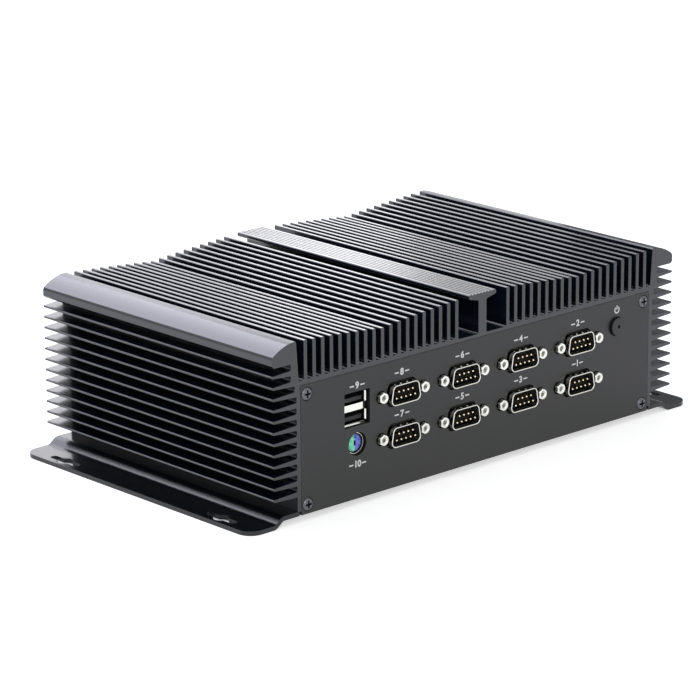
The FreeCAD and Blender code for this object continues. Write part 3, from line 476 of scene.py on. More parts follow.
# Black moulding of the insulators; the same black also paints shade on the opening walls and inside the
# round port's ring.
BLACK_MOULDING_AND_SHADE = GrainyFinish("moulded_black_and_painted_shade", srgb(9, 9, 10), spread=0.15, smooth=0.6, rough=0.75,
                            depth=0.006, ior=1.32)
TONGUE = GrainyFinish("moulded_charcoal", srgb(24, 24, 29), spread=0.1, smooth=0.4, rough=0.5,
                      depth=0.004)
BLUE_PLASTIC = moulded("blue", srgb(34, 74, 158), 0.08)
GREEN_PLASTIC = moulded("aqua", srgb(146, 250, 212))
VIOLET_PLASTIC = moulded("violet", srgb(126, 138, 236))
LIME_PLASTIC = moulded("lime", srgb(120, 190, 92))
PINK_PLASTIC = moulded("pink", srgb(226, 122, 150))
BUTTON = GrainyFinish("satin_charcoal", srgb(20, 21, 22), spread=0.08, smooth=0.34, rough=0.44,
                      depth=0.004)
BOARD = LacqueredFinish("board_green", srgb(18, 74, 46), spread=0.18, depth=0.008, fineness=700.0)
CHIP = GrainyFinish("chip_black", srgb(28, 28, 30), smooth=0.5, rough=0.6, depth=0.004)
BRASS = DrawnFinish("turned_brass", srgb(196, 164, 92), spread=0.08, smooth=0.2, rough=0.32,
                    depth=0.003, metallic=1.0, stretch=(0.02, 0.02, 1.0), fineness=5000.0)
MILLED = DrawnFinish("milled_aluminium", srgb(196, 198, 200), spread=0.06, smooth=0.24, rough=0.36,
                     depth=0.004, metallic=1.0, stretch=(1.0, 0.03, 1.0), fineness=3000.0)
FERRITE = GrainyFinish("pressed_ferrite", srgb(84, 84, 88), spread=0.16, smooth=0.6, rough=0.75,
                       depth=0.02, fineness=1800.0)
INK = GrainyFinish("white_ink", srgb(236, 236, 234), spread=0.03, smooth=0.5, rough=0.6,
                   depth=0.002, edge_radius=0.02)


# ---------------------------------------------------------------- mesh making
def polar_loop(radius_at: Callable[[float], float], count: int = 72) -> list[Point]:
    """Points round a middle, anticlockwise, each at the radius that its angle is given."""
    angles = [2 * math.pi * n / count for n in range(count)]
    return [(radius_at(a) * math.cos(a), radius_at(a) * math.sin(a)) for a in angles]


def ring_points(radius: float, count: int = 72) -> list[Point]:
    """Points round a circle."""
    return polar_loop(lambda angle: radius, count)


def rectangle(wide: float, high: float) -> list[Point]:
    """Corners of a rectangle, by half its width and half its height."""
    return [(-wide, -high), (wide, -high), (wide, high), (-wide, high)]


def lathe(*profile: Point, count: int = 72) -> list[Station]:
    """Round stations of a turned shape, each by its radius and depth."""
    return [(ring_points(radius, count), depth) for radius, depth in profile]


def add_loop(bm: Mesh, points: Iterable[Point], depth: float, place: Vector) -> list[Vert]:
    """Add a closed loop of vertices across the depth, around a place."""
    return [bm.verts.new(((place.x + x) * MM, (place.y + depth) * MM, (place.z + z) * MM))
            for x, z in points]


def skin(bm: Mesh, loops: Sequence[Sequence[Vert]], capped: bool) -> None:
    """Skin a row of loops that have as many vertices each.

    Args:
        bm: Mesh to add to.
        loops: The loops.
        capped: Whether a face closes each end.
    """
    for first, second in zip(loops, loops[1:]):
        for n, vert in enumerate(first):
            bm.faces.new((first[n - 1], vert, second[n], second[n - 1]))
    if capped:
        bm.faces.new(list(reversed(loops[0])))
        bm.faces.new(loops[-1])


def sweep(bm: Mesh, stations: Sequence[Station], place: Vector, capped: bool = True,
          step: float = 1.0) -> None:
    """Skin a row of outlines along the depth.

    Args:
        bm: Mesh to add to.
        stations: Each outline's points and depth.
        place: Where the outlines' middle is.
        capped: Whether a face closes each end.
        step: 1 where the depth runs along +Y, -1 where it runs the other way.
    """
    skin(bm, [add_loop(bm, points, step * depth, place) for points, depth in stations], capped)


def plate(bm: Mesh, outline: list[Point], holes: Sequence[list[Point]], front: float, back: float,
          place: Vector) -> None:
    """Add a flat plate with holes.

    Args:
        bm: Mesh to add to.
        outline: Outer edge.
        holes: Edge of each hole.
        front: Depth of the front face.
        back: Depth of the back face.
        place: Where the plate's middle is.
    """
    for loop in (outline, *holes):
        sweep(bm, [(loop, front), (loop, back)], place, capped=False)
    for depth in (front, back):
        edges = []
        for loop in (outline, *holes):
            verts = add_loop(bm, loop, depth, place)
            edges += [bm.edges.new((verts[n - 1], verts[n])) for n in range(len(verts))]
        bmesh.ops.triangle_fill(bm, edges=edges, use_beauty=True, use_dissolve=False)


def put_object(name: str, data: bpy.types.ID) -> bpy.types.Object:
    """Add an object to the scene.

    Args:
        name: Name of the object.
        data: What it shows: a mesh, a lamp or a camera.

    Returns:
        The object.
    """
    made = bpy.data.objects.new(name, data)
    bpy.context.scene.collection.objects.link(made)
    return made


def put_mesh(name: str, bm: Mesh, *materials: bpy.types.Material) -> bpy.types.Object:
    """Add an object with a mesh.

    Args:
        name: Name of the object.
        bm: Its mesh, which is freed.
        *materials: Its materials.

    Returns:
        The object.
    """
    mesh = bpy.data.meshes.new(name)
    bm.to_mesh(mesh)
    bm.free()
    for material in materials:
        mesh.materials.append(material)
    return put_object(name, mesh)


def finish_piece(name: str, bm: Mesh, slot: str, *finishes: Finish, replaced: Sequence[str] = ()
                 ) -> None:
    """Turn a mesh into a piece of the model.

    Args:
        name: Name of the piece.
        bm: Its mesh, which is freed.
        slot: The material slot that it belongs to; not used.
        *finishes: Its finish, and that of its second faces if it has any.
        replaced: Nodes that it stands for.
    """
    bmesh.ops.remove_doubles(bm, verts=bm.verts[:], dist=WELD * MM)
    bmesh.ops.recalc_face_normals(bm, faces=bm.faces[:])
    piece = put_mesh(name, bm, *[finish.material() for finish in finishes])
    piece.data.shade_smooth()
    piece.data.set_sharp_from_angle(angle=SMOOTH_ANGLE)
    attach(piece, CHASSIS)
    if replaced:
        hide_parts(*replaced)
    log.info("piece %s: %d faces", name, len(piece.data.polygons))


def corners(node: str) -> tuple[Vector, Vector]:
    """Lowest and highest corner of a node's box, in millimetres."""
    low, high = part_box(node)
    return Vector(low) / MM, Vector(high) / MM


def middle(node: str) -> Vector:
    """Middle of a node's box, in millimetres."""
    low, high = (Vector(corner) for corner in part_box(node))
    return (low + high) / 2 / MM


def outer_face(node: str) -> Point:
    """Outward end of a node in a panel.

    Args:
        node: Name of the node.

    Returns:
        Its place along Y, and 1 where the case lies along +Y from there or -1 along -Y.
    """
    low, high = corners(node)
    return (high.y, -1.0) if low.y > 0 else (low.y, 1.0)


# ---------------------------------------------------------------- finishes of the solids
WARDROBE = {  # whole names and endings of names; the first that fits counts
    EXTRUSION: ("heatsink_housing",),
    SHEET: ("bottom_plate",),
    PANEL: ("front_panel", "rear_panel"),
    BUTTON: ("power_button",),
    GREEN_PLASTIC: ("round_port_mouse_half",),
    VIOLET_PLASTIC: ("round_port_keyboard_half",),
    TONGUE: ("_port_tongue", "_port_tongues"),
    BLUE_PLASTIC: ("analog_video_port_body", "_insert"),
    LIME_PLASTIC: ("audio_jack_line",),
    PINK_PLASTIC: ("audio_jack_microphone",),
    BOARD: ("mainboard", "memory_card", "storage_card"),
    BRASS: ("board_posts", "storage_card_post"),
    MILLED: ("processor", "heat_spreader", "board_capacitors", "coin_cell"),
    FERRITE: ("board_chokes",),
    CHIP: ("coin_cell_holder", "memory_socket", "storage_socket"),
    SCREW_BLACK: ("_panel_screws", "bottom_plate_screws"),
    SCREW: ("screws",),
    GOLD: ("_pins",),
    NICKEL_AND_GLINT: ("_shell", "power_inlet_pin", "round_port_ring"),
    BLACK_MOULDING_AND_SHADE: ("_body",),
}


def dress_solids() -> None:
    """Give every solid its finish."""
    for name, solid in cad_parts.items():
        finish = next(finish for finish, endings in WARDROBE.items() if name.endswith(endings))
        for slot in solid.material_slots:
            slot.material = finish.material()
        log.info("solid %s wears %s", name, finish.name)


# ---------------------------------------------------------------- serial ports
@dataclass(frozen=True)
class PressedShell:
    """Pressed D-shaped metal shell with its flange, rolled rim and dimples; the flange wears a darker
    metal, a painted shade.

    Attributes:
        node: Node that the shell stands for.
        wide: Width of the wide, lower side before its corners are rounded.
        height: Height over the shell.
        wall: Thickness of the sheet.
        corner_radius: Radius of the outer corners.
        slant: Slope of the two sides, in degrees.
        spacing: Distance between two points of the outline.
        hole_radius: Radius of the flange's two screw holes.
        flange_thickness: Thickness of the flange.
        dimple_pitch: Distance between the dimples of a wall.
        dimple_count: Number of dimples in the upper and in the lower wall.
        dimple_radius: Radius of a dimple.
        dimple_depth: Depth of a dimple.
        dimple_setback: Distance from the rim to the dimples.
        dimple_steepness: How steeply a dimple's side falls; 1 gives a cosine.
        lower_dimples: Share of that depth in the lower wall.
        loop_spacing: Distance between two loops of the dimpled wall.
        loop_count: Number of these loops.
    """

    node: str
    wide: float = 18.5
    height: float = 9.3
    wall: float = 0.5
    corner_radius: float = 2.6
    slant: float = 10.0
    spacing: float = 0.16
    hole_radius: float = 1.55
    flange_thickness: float = 0.8
    dimple_pitch: float = 3.8
    dimple_count: int = 4
    dimple_radius: float = 0.8
    dimple_depth: float = 0.45
    dimple_setback: float = 1.5
    dimple_steepness: float = 1.5
    lower_dimples: float = 0.3
    loop_spacing: float = 0.2
    loop_count: int = 14

    def outline(self) -> list[Point]:
        """Closed D outline, evenly divided.

        Returns:
            The outline's points.
        """
        slope, radius, half_h = math.radians(self.slant), self.corner_radius, self.height / 2
        bends = []
        for z, start, end in ((radius - half_h, -math.pi / 2, slope),
                              (half_h - radius, slope, math.pi / 2)):
            reach = radius / math.cos(slope) + math.tan(slope) * (z + half_h)
            bends.append((self.wide / 2 - reach, z, start, end))
        bends += [(-x, z, math.pi - end, math.pi - start) for x, z, start, end in reversed(bends)]
        points: list[Point] = []
        for (x, z, start, end), (next_x, next_z, turn, _) in zip(bends, bends[1:] + bends[:1]):
            steps = max(3, round(radius * abs(end - start) / self.spacing))
            angles = [start + (end - start) * k / steps for k in range(steps + 1)]
            points += [(x + radius * math.cos(a), z + radius * math.sin(a)) for a in angles]
            x, z = points[-1]
            far = (next_x + radius * math.cos(turn), next_z + radius * math.sin(turn))
            steps = max(2, round(math.dist((x, z), far) / self.spacing))
            points += [(x + (far[0] - x) * k / steps, z + (far[1] - z) * k / steps)
                       for k in range(1, steps)]
        return points

    def dent(self, x: float, depth: float) -> float:
        """How far a dimple presses the upper or lower wall in.

        Args:
            x: Place across the wall.
            depth: Distance from the rim.

        Returns:
            Distance pressed inwards.
        """
        middles = [(n - (self.dimple_count - 1) / 2) * self.dimple_pitch
                   for n in range(self.dimple_count)]
        away = min(math.hypot(x - place, depth - self.dimple_setback) for place in middles)
        share = min(1.0, away / self.dimple_radius)
        fall = max(0.0, math.cos(share * math.pi / 2))
        return self.dimple_depth * fall ** self.dimple_steepness

    def wall_loop(self, base: list[Point], inset: float, depth: float | None = None) -> list[Point]:
        """One loop of the tube's wall.

        Args:
            base: Outer outline.
            inset: Distance inside the outer face.
            depth: Distance from the rim, or None for a loop without dimples.

        Returns:
            The loop's points.
        """
        loop, flat = [], self.height / 2 - 0.01  # the upper and lower wall lie past this height
        for n, (x, z) in enumerate(base):
            before, after = base[n - 1], base[(n + 1) % len(base)]
            along = Vector((after[0] - before[0], after[1] - before[1])).normalized()
            push = inset
            if depth is not None and abs(z) > flat:
                push += (1.0 if z > 0 else self.lower_dimples) * self.dent(x, depth)
            loop.append((x - along.y * push, z + along.x * push))
        return loop

    def build(self) -> None:
        """Make the shell where its node is."""
        place = middle(self.node)
        low, high = corners(self.node)
        place.y, step = outer_face(self.node)
        tube, roll, base = high.y - low.y, self.wall / 2, self.outline()
        dimpled = [roll] + [self.loop_spacing + self.loop_spacing * n
                            for n in range(self.loop_count)]
        stations = [(self.wall_loop(base, 0.0, d), d)
                    for d in reversed(dimpled + [tube - self.flange_thickness])]
        for angle in map(math.radians, (30, 60, 90, 120, 150)):
            stations.append((self.wall_loop(base, roll - roll * math.cos(angle)),
                             roll - roll * math.sin(angle)))
        stations += [(self.wall_loop(base, self.wall, d), d) for d in dimpled + [tube]]
        bm = bmesh.new()
        sweep(bm, stations, place, capped=False, step=step)
        tube_faces = len(bm.faces)
        holes = [self.wall_loop(base, self.wall)]
        holes += [[(x + side * JACKSCREW_SPAN / 2, z) for x, z in ring_points(self.hole_radius, 24)]
                  for side in (-1, 1)]
        plate(bm, rectangle((high.x - low.x) / 2, (high.z - low.z) / 2), holes,
              step * (tube - self.flange_thickness), step * tube, place)
        # The flange faces take the darker metal: painted shade.
        for face in list(bm.faces)[tube_faces:]:
            face.material_index = 1
        finish_piece(self.node + "_pressed", bm, "nickel", NICKEL_AND_GLINT, FLANGE_SHADE_TIN, replaced=[self.node])


@dataclass(frozen=True)
class Jackscrews:
    """Hexagonal jackscrews with chamfered ends and threaded bores.

    Attributes:
        node: Node that the screws stand for.
        across: Size across the flats.
        reach: Length of the hexagon, from its front to the flange.
        edge_depths: Depth of each loop of the rounded edge in front, the last in front.
        edge_inset: How far the frontmost of them lies inside the flats.
        edge_slope: How far out they come for their depth.
        bore: Radius of the thread's crests.
        mouth: How much wider the bore's mouth is.
        bore_depth: Depth of the bore.
        thread_start: Depth of the first turn.
        thread_depth: Depth of the thread.
        thread_pitch: Distance between two turns.
        shank: Radius of the shank behind the panel.
        shank_length: Its length.
    """

    node: str
    across: float = 4.75
    reach: float = 4.2
    edge_depths: tuple[float, ...] = (0.62, 0.45, 0.3, 0.18, 0.08, 0.0)
    edge_inset: float = 0.12
    edge_slope: float = 0.75
    bore: float = 1.3
    mouth: float = 0.2
    bore_depth: float = 4.0
    thread_start: float = 0.18
    thread_depth: float = 0.16
    thread_pitch: float = 0.64
    shank: float = 1.5
    shank_length: float = 4.0

    def hex_loop(self, limit: float = math.inf) -> list[Point]:
        """Outline of the hexagon, cut down to a circle.

        Args:
            limit: Radius of the circle.

        Returns:
            The outline.
        """
        def radius_at(angle: float) -> float:
            """Radius of the outline at an angle."""
            away = (angle + math.pi / 6) % (math.pi / 3) - math.pi / 6
            return min(limit, self.across / 2 / math.cos(away))
        return polar_loop(radius_at)

    def one(self, bm: Mesh, place: Vector, step: float) -> None:
        """Add one jackscrew.

        Args:
            bm: Mesh to add to.
            place: Middle of its front end.
            step: 1 where the depth runs along +Y, -1 where it runs the other way.
        """
        stations = lathe((self.shank, self.reach + self.shank_length), (self.shank, self.reach))
        stations.append((self.hex_loop(), self.reach))
        front = self.across / 2 - self.edge_inset
        stations += [(self.hex_loop(front + depth * self.edge_slope), depth)
                     for depth in self.edge_depths]
        stations += lathe((self.bore + self.mouth, 0.0))
        half_pitch = self.thread_pitch / 2
        for turn in range(math.ceil((self.bore_depth - self.thread_start) / half_pitch)):
            stations += lathe((self.bore - turn % 2 * self.thread_depth,
                               self.thread_start + turn * half_pitch))
        sweep(bm, stations, place, step=step)

    def build(self, ports: Sequence[str]) -> None:
        """Make both jackscrews of every port.

        Args:
            ports: Shell node of each port.
        """
        bm = bmesh.new()
        for place in map(middle, ports):
            place.y, step = outer_face(self.node)
            for side in (-1, 1):
                self.one(bm, place + Vector((side * JACKSCREW_SPAN / 2, 0.0, 0.0)), step)
        finish_piece(self.node + "_turned", bm, "screw_steel", SCREW, replaced=[self.node])


@dataclass(frozen=True)
class ContactPins:
    """Round contact pins with rounded noses, in the two rows of each serial port.

    Attributes:
        node: Node that the pins stand for.
        radius: Radius of a pin.
        pitch: Distance between two pins of a row.
        row_gap: Distance between the rows.
        nose: Length of the rounded nose.
        counts: Number of pins in the lower row and in the upper one.
    """

    node: str
    radius: float = 0.5
    pitch: float = 2.77
    row_gap: float = 2.84
    nose: float = 0.75
    counts: tuple[int, int] = (5, 4)

    def build(self, ports: Sequence[str]) -> None:
        """Make the pins of the ports that share a body.

        Args:
            ports: Shell node of each port.
        """
        bm = bmesh.new()
        low, high = corners(self.node)
        profile = [(self.radius, high.y - low.y), (self.radius, self.nose)]
        profile += [(self.radius * math.cos(angle), self.nose * (1 - math.sin(angle)))
                    for angle in map(math.radians, (20, 40, 55, 70, 82))]
        pin = lathe(*profile, count=20)
        for centre in map(middle, ports):
            for count, side in zip(self.counts, (-1, 1)):
                for n in range(count):
                    sweep(bm, pin, Vector((centre.x + (n - (count - 1) / 2) * self.pitch, low.y,
                                           centre.z + side * self.row_gap / 2)))
        finish_piece(self.node + "_rounded", bm, "gold_pin", GOLD, replaced=[self.node])


# ---------------------------------------------------------------- panel screws
@dataclass(frozen=True)
class PanelScrews:
    """Four raised countersunk screws with cross recesses.

    Attributes:
        node: Node that the screws stand for.
        seat: Radius of the countersink.
        head: Radius of the head.
        shank: Radius of the shank.
        head_depth: Depth of the head in the panel.
        rise: How far the head's crown stands out of the panel.
        arm: Reach of a cross arm.
        arm_width: Width of a cross arm.
        edge: Depths between which the head's edge is straight.
        rim: Distance from the recess to the top of the crown.
        recess: Depth of the cross recess.
        taper: Share of its reach and of its depth at the loops below its edge.
        edge_drop: How far its edge lies below the crown.
    """

    node: str
    seat: float = 3.0
    head: float = 2.8
    shank: float = 1.5
    head_depth: float = 1.5
    rise: float = 0.6
    arm: float = 1.8
    arm_width: float = 0.95
    edge: Point = (0.2, 0.02)
    rim: float = 0.12
    recess: float = 1.9
    taper: tuple[Point, ...] = ((0.93, 0.45), (0.5, 1.0))
    edge_drop: float = 0.01

    def cross_loop(self, scale: float = 1.0) -> list[Point]:
        """Outline of the cross recess.

        Args:
            scale: Share of its full reach.

        Returns:
            The outline.
        """
        def radius_at(angle: float) -> float:
            """Radius of the outline at an angle."""
            away = abs((angle + math.pi / 4) % (math.pi / 2) - math.pi / 4)
            return min(self.arm * scale, self.arm_width / 2 / max(0.01, math.sin(away)))
        return polar_loop(radius_at)

    def build(self) -> None:
        """Make the four screws where their node is."""
        low, high = corners(self.node)
        face, step = outer_face(self.node)
        crown = self.arm + self.rim
        stations = lathe((self.shank, high.y - low.y), (self.shank, self.head_depth),
                         *[(self.head, depth) for depth in self.edge])
        for share in (n / 6 for n in range(1, 7)):
            stations += lathe((self.head + (crown - self.head) * share,
                               -self.rise * math.sin(share * math.pi / 2)))
        stations.append((self.cross_loop(), -self.rise + self.edge_drop))
        stations += [(self.cross_loop(reach), self.recess * share - self.rise)
                     for reach, share in self.taper]
        bm = bmesh.new()
        for x in (low.x + self.seat, high.x - self.seat):
            for z in (low.z + self.seat, high.z - self.seat):
                sweep(bm, stations, Vector((x, face, z)), step=step)
        finish_piece(self.node + "_raised", bm, "screw_black", SCREW_BLACK, replaced=[self.node])


# ---------------------------------------------------------------- centre rail
@dataclass(frozen=True)
class ShallowGrooves:
    """Bars that lie in the grooves of the centre rail, with bright nickel on their slopes at the front
    end, painted glints.

    Attributes:
        pitch: Distance between two grooves.
        width: Width of a groove.
        depth: Depth of a groove.
        side_count: Number of grooves on each side of the middle one.
        line_depth: Depth that is left of a groove.
        ramp: Length of the slope at the rail's end.
        inset: Distance from the rail's end to the slope.
        foot: Share of the groove's depth that the slope starts at.
        lean: How far a face leans towards the rail's end to count as slope, from and to.
    """

    pitch: float = 2.0
    width: float = 0.7
    depth: float = 0.45
    side_count: int = 3
    line_depth: float = 0.02
    ramp: float = 0.5
    inset: float = 0.03
    foot: float = 0.2
    lean: Point = (0.2, 0.95)

    def section(self, share: float) -> list[Point]:
        """Outline of a bar, filled up to a share of the groove's depth."""
        half, top = self.width / 2 * share, (share - 1) * self.depth
        return [(0.0, -self.depth), (half, top), (-half, top)]

    def build(self) -> None:
        """Make the bars where the housing's highest face is."""
        low, high = corners("heatsink_housing")
        full, foot = self.section(1 - self.line_depth / self.depth), self.section(self.foot)
        front, back = low.y + self.inset, high.y - self.inset
        bm = bmesh.new()
        for n in range(-self.side_count, self.side_count + 1):
            sweep(bm, [(foot, front), (full, front + self.ramp), (full, back - self.ramp),
                       (foot, back)], Vector((n * self.pitch, 0.0, high.z)))
        bm.normal_update()
        # Slopes at the front end take bright nickel: painted glints along the rail's front edge.
        for face in bm.faces:
            slope = self.lean[0] < abs(face.normal.y) < self.lean[1]
            if slope and face.calc_center_median().y < 0:
                face.material_index = 1
        finish_piece("centre_rail_grooves", bm, "black_anodised", EXTRUSION, NICKEL_AND_GLINT)


# ---------------------------------------------------------------- round port
@dataclass(frozen=True)
class RoundPortHalf:
    """Half of the round port's moulded face, with its contact holes and key slot.

    Attributes:
        node: Node that the half stands for.
        side: 1 for the half towards +X, -1 for the other.
        finish: Its finish.
        slot: Material slot that it belongs to.
        radius: Radius of the face.
        recess: Depth of the stepped rim that runs round the face.
        hole: Radius of a contact hole.
        hole_circle: Radius of the circle that they lie on.
        hole_angles: Angle of each hole, in degrees from the side's direction.
        hole_depth: Depth of the holes.
        key: Half width and half height of the key slot.
        advance: How far the face comes forward of its node.
        split: Half of the gap between the two halves.
    """

    node: str
    side: int
    finish: Finish
    slot: str
    radius: float = 3.9
    recess: float = 0.5
    hole: float = 0.55
    hole_circle: float = 2.7
    hole_angles: tuple[float, ...] = (28.0, 80.0, -35.0)
    hole_depth: float = 3.0
    key: Point = (0.55, 1.2)
    advance: float = 0.65
    split: float = 0.02

    def outline(self, radius: float) -> list[Point]:
        """Half disc with its share of the key slot cut out.

        Args:
            radius: Radius of the disc.

        Returns:
            The outline, anticlockwise.
        """
        arc = [(radius * math.cos(a), radius * math.sin(a))
               for a in (math.radians(-90 + 180 * n / 36) for n in range(37))]
        wide, high = self.key
        points = arc + [(0.0, high), (wide, high), (wide, -high), (0.0, -high)]
        return points if self.side > 0 else [(-x, z) for x, z in reversed(points)]

    def build(self) -> None:
        """Make the half where its node is."""
        place = middle("round_port_ring")
        low, high = corners(self.node)
        place.x += self.side * self.split
        place.y = low.y - self.advance
        holes = []
        for a in map(math.radians, self.hole_angles):
            x, z = self.side * self.hole_circle * math.cos(a), self.hole_circle * math.sin(a)
            holes.append([(x + dx, z + dz) for dx, dz in ring_points(self.hole, 16)])
        bm = bmesh.new()
        plate(bm, self.outline(self.radius - self.recess), holes, 0.0, self.hole_depth, place)
        plate(bm, self.outline(self.radius), [], self.recess, high.y - place.y, place)
        finish_piece(self.node + "_moulded", bm, self.slot, self.finish, replaced=[self.node])


@dataclass(frozen=True)
class RoundPortRing:
    """Metal ring of the round port, with a collar inside the panel's hole; its inner wall is black, a
    painted shade.

    Attributes:
        node: Node that the ring stands for.
        outer: Radius of the ring behind the panel.
        wall: Its wall.
        collar: Outer radius of the collar.
        collar_wall: Its wall.
        collar_length: Length of the collar.
        setback: Distance from the panel's face to the collar.
        rounding: Depths of the two loops that round the collar's front edges.
        rounding_inset: How far the first of them lies inside the collar's wall.
        throat: Depths at which the collar's bore ends and the ring's begins.
    """

    node: str = "round_port_ring"
    outer: float = 4.45
    wall: float = 0.3
    collar: float = 4.9
    collar_wall: float = 0.4
    collar_length: float = 0.4
    setback: float = 1.45
    rounding: Point = (0.04, 0.15)
    rounding_inset: float = 0.06
    throat: Point = (0.3, 0.35)

    def build(self) -> None:
        """Make the ring where its node is."""
        place = middle(self.node)
        place.y = outer_face("front_panel")[0]
        back = corners(self.node)[1].y - place.y
        inner, rim = self.collar - self.collar_wall, self.setback
        near, far = (rim + depth for depth in self.rounding)
        outside = [(self.outer, back), (self.outer, rim + self.collar_length),
                   (self.collar, rim + self.collar_length), (self.collar, far),
                   (self.collar - self.rounding_inset, near), ((self.collar + inner) / 2, rim),
                   (inner + self.rounding_inset, near), (inner, far),
                   (inner, rim + self.throat[0])]
        inside = [outside[-1], (self.outer - self.wall, rim + self.throat[1]),
                  (self.outer - self.wall, back), outside[0]]
        bm = bmesh.new()
        sweep(bm, lathe(*outside), place, capped=False)
        bright = len(bm.faces)
        sweep(bm, lathe(*inside), place, capped=False)
        # The inner wall takes the black moulding: painted shade inside the ring.
        for face in list(bm.faces)[bright:]:
            face.material_index = 1
        finish_piece(self.node + "_collared", bm, "nickel", NICKEL_AND_GLINT, BLACK_MOULDING_AND_SHADE,
                     replaced=[self.node])


# ---------------------------------------------------------------- data port pair
@dataclass(frozen=True)
class FlaredLips:
    """Spring lips that flare out in front of the data-port shell.

    Each pair of values is for the lips at the sides and for those above and below.

    Attributes:
        half: Half width and half height of the shell.
        root: How far a lip starts inside the shell's outer face.
        reach: How far it ends outside of it.
        land: Thickness of a lip at its root.
        forward: How far it comes forward.
        sheet: Its thickness in front.
        socket_offset: Height of each socket's middle from the shell's.
        socket_half: Half the length of a lip at the side.
        end_gap: Distance from a lip above or below to the shell's corner.
    """

    half: Point = (6.8, 7.55)
    root: Point = (0.45, 0.35)
    reach: Point = (0.0, 0.15)
    land: Point = (0.2, 0.3)
    forward: float = 0.5
    sheet: float = 0.12
    socket_offset: float = 4.2
    socket_half: float = 2.3
    end_gap: float = 0.6

    def lip(self, bm: Mesh, place: Vector, axis: int, side: int, ends: Point) -> None:
        """One lip, a wedge along an edge of the shell.

        Args:
            bm: Mesh to add to.
            place: Middle of the shell's front.
            axis: 0 for a lip at the side, 1 for one above or below.
            side: 1 for the side towards + of that axis, -1 for the other.
            ends: Where it starts and ends along the edge.
        """
        inner, outer = self.half[axis] - self.root[axis], self.half[axis] + self.reach[axis]
        wedge = ((inner, 0.0), (outer, -self.forward), (outer, -self.forward + self.sheet),
                 (inner + self.land[axis], 0.0))
        spots = [[(side * out, y, end) if axis == 0 else (end, y, side * out) for out, y in wedge]
                 for end in ends]
        skin(bm, [[bm.verts.new((place + Vector(spot)) * MM) for spot in loop] for loop in spots],
             capped=True)

    def build(self) -> None:
        """Make the lips in front of the shell."""
        shell = "front_data_port_shell"
        place = middle(shell)
        place.y = outer_face(shell)[0]
        along = self.half[0] - self.end_gap
        bm = bmesh.new()
        for side in (-1, 1):
            for level in (-self.socket_offset, self.socket_offset):
                self.lip(bm, place, 0, side, (level - self.socket_half, level + self.socket_half))
            self.lip(bm, place, 1, side, (-along, along))
        finish_piece("front_data_port_lips", bm, "nickel", NICKEL_AND_GLINT)


@dataclass(frozen=True)
class OpeningLiners:
    """Black sheets on the walls of the data ports' and the round port's openings: painted shade where
    these walls lie in shadow.

    Attributes:
        opening: Half width and half height of the data ports' opening.
        round_radius: Radius of the round port's hole.
        wall: Thickness of a sheet.
        length: Length of a sheet into the panel.
        setback: Distance from the panel's face to a sheet.
    """

    opening: Point = (7.5, 7.85)
    round_radius: float = 5.3
    wall: float = 0.08
    length: float = 1.85
    setback: float = 0.1

    def build(self) -> None:
        """Make both sheets of painted shade."""
        wide, high = self.opening
        shapes = ((rectangle(wide, high), rectangle(wide - self.wall, high - self.wall),
                   middle("front_data_port_shell")),
                  (ring_points(self.round_radius), ring_points(self.round_radius - self.wall),
                   middle("round_port_ring")))
        bm = bmesh.new()
        for outside, inside, place in shapes:
            place.y = outer_face("front_panel")[0] + self.setback
            sweep(bm, [(outside, 0.0), (inside, 0.0), (inside, self.length),
                       (outside, self.length), (outside, 0.0)], place, capped=False)
        # These sheets are painted shade on the openings' walls.
        finish_piece("front_opening_painted_shade", bm, "socket_black", BLACK_MOULDING_AND_SHADE)


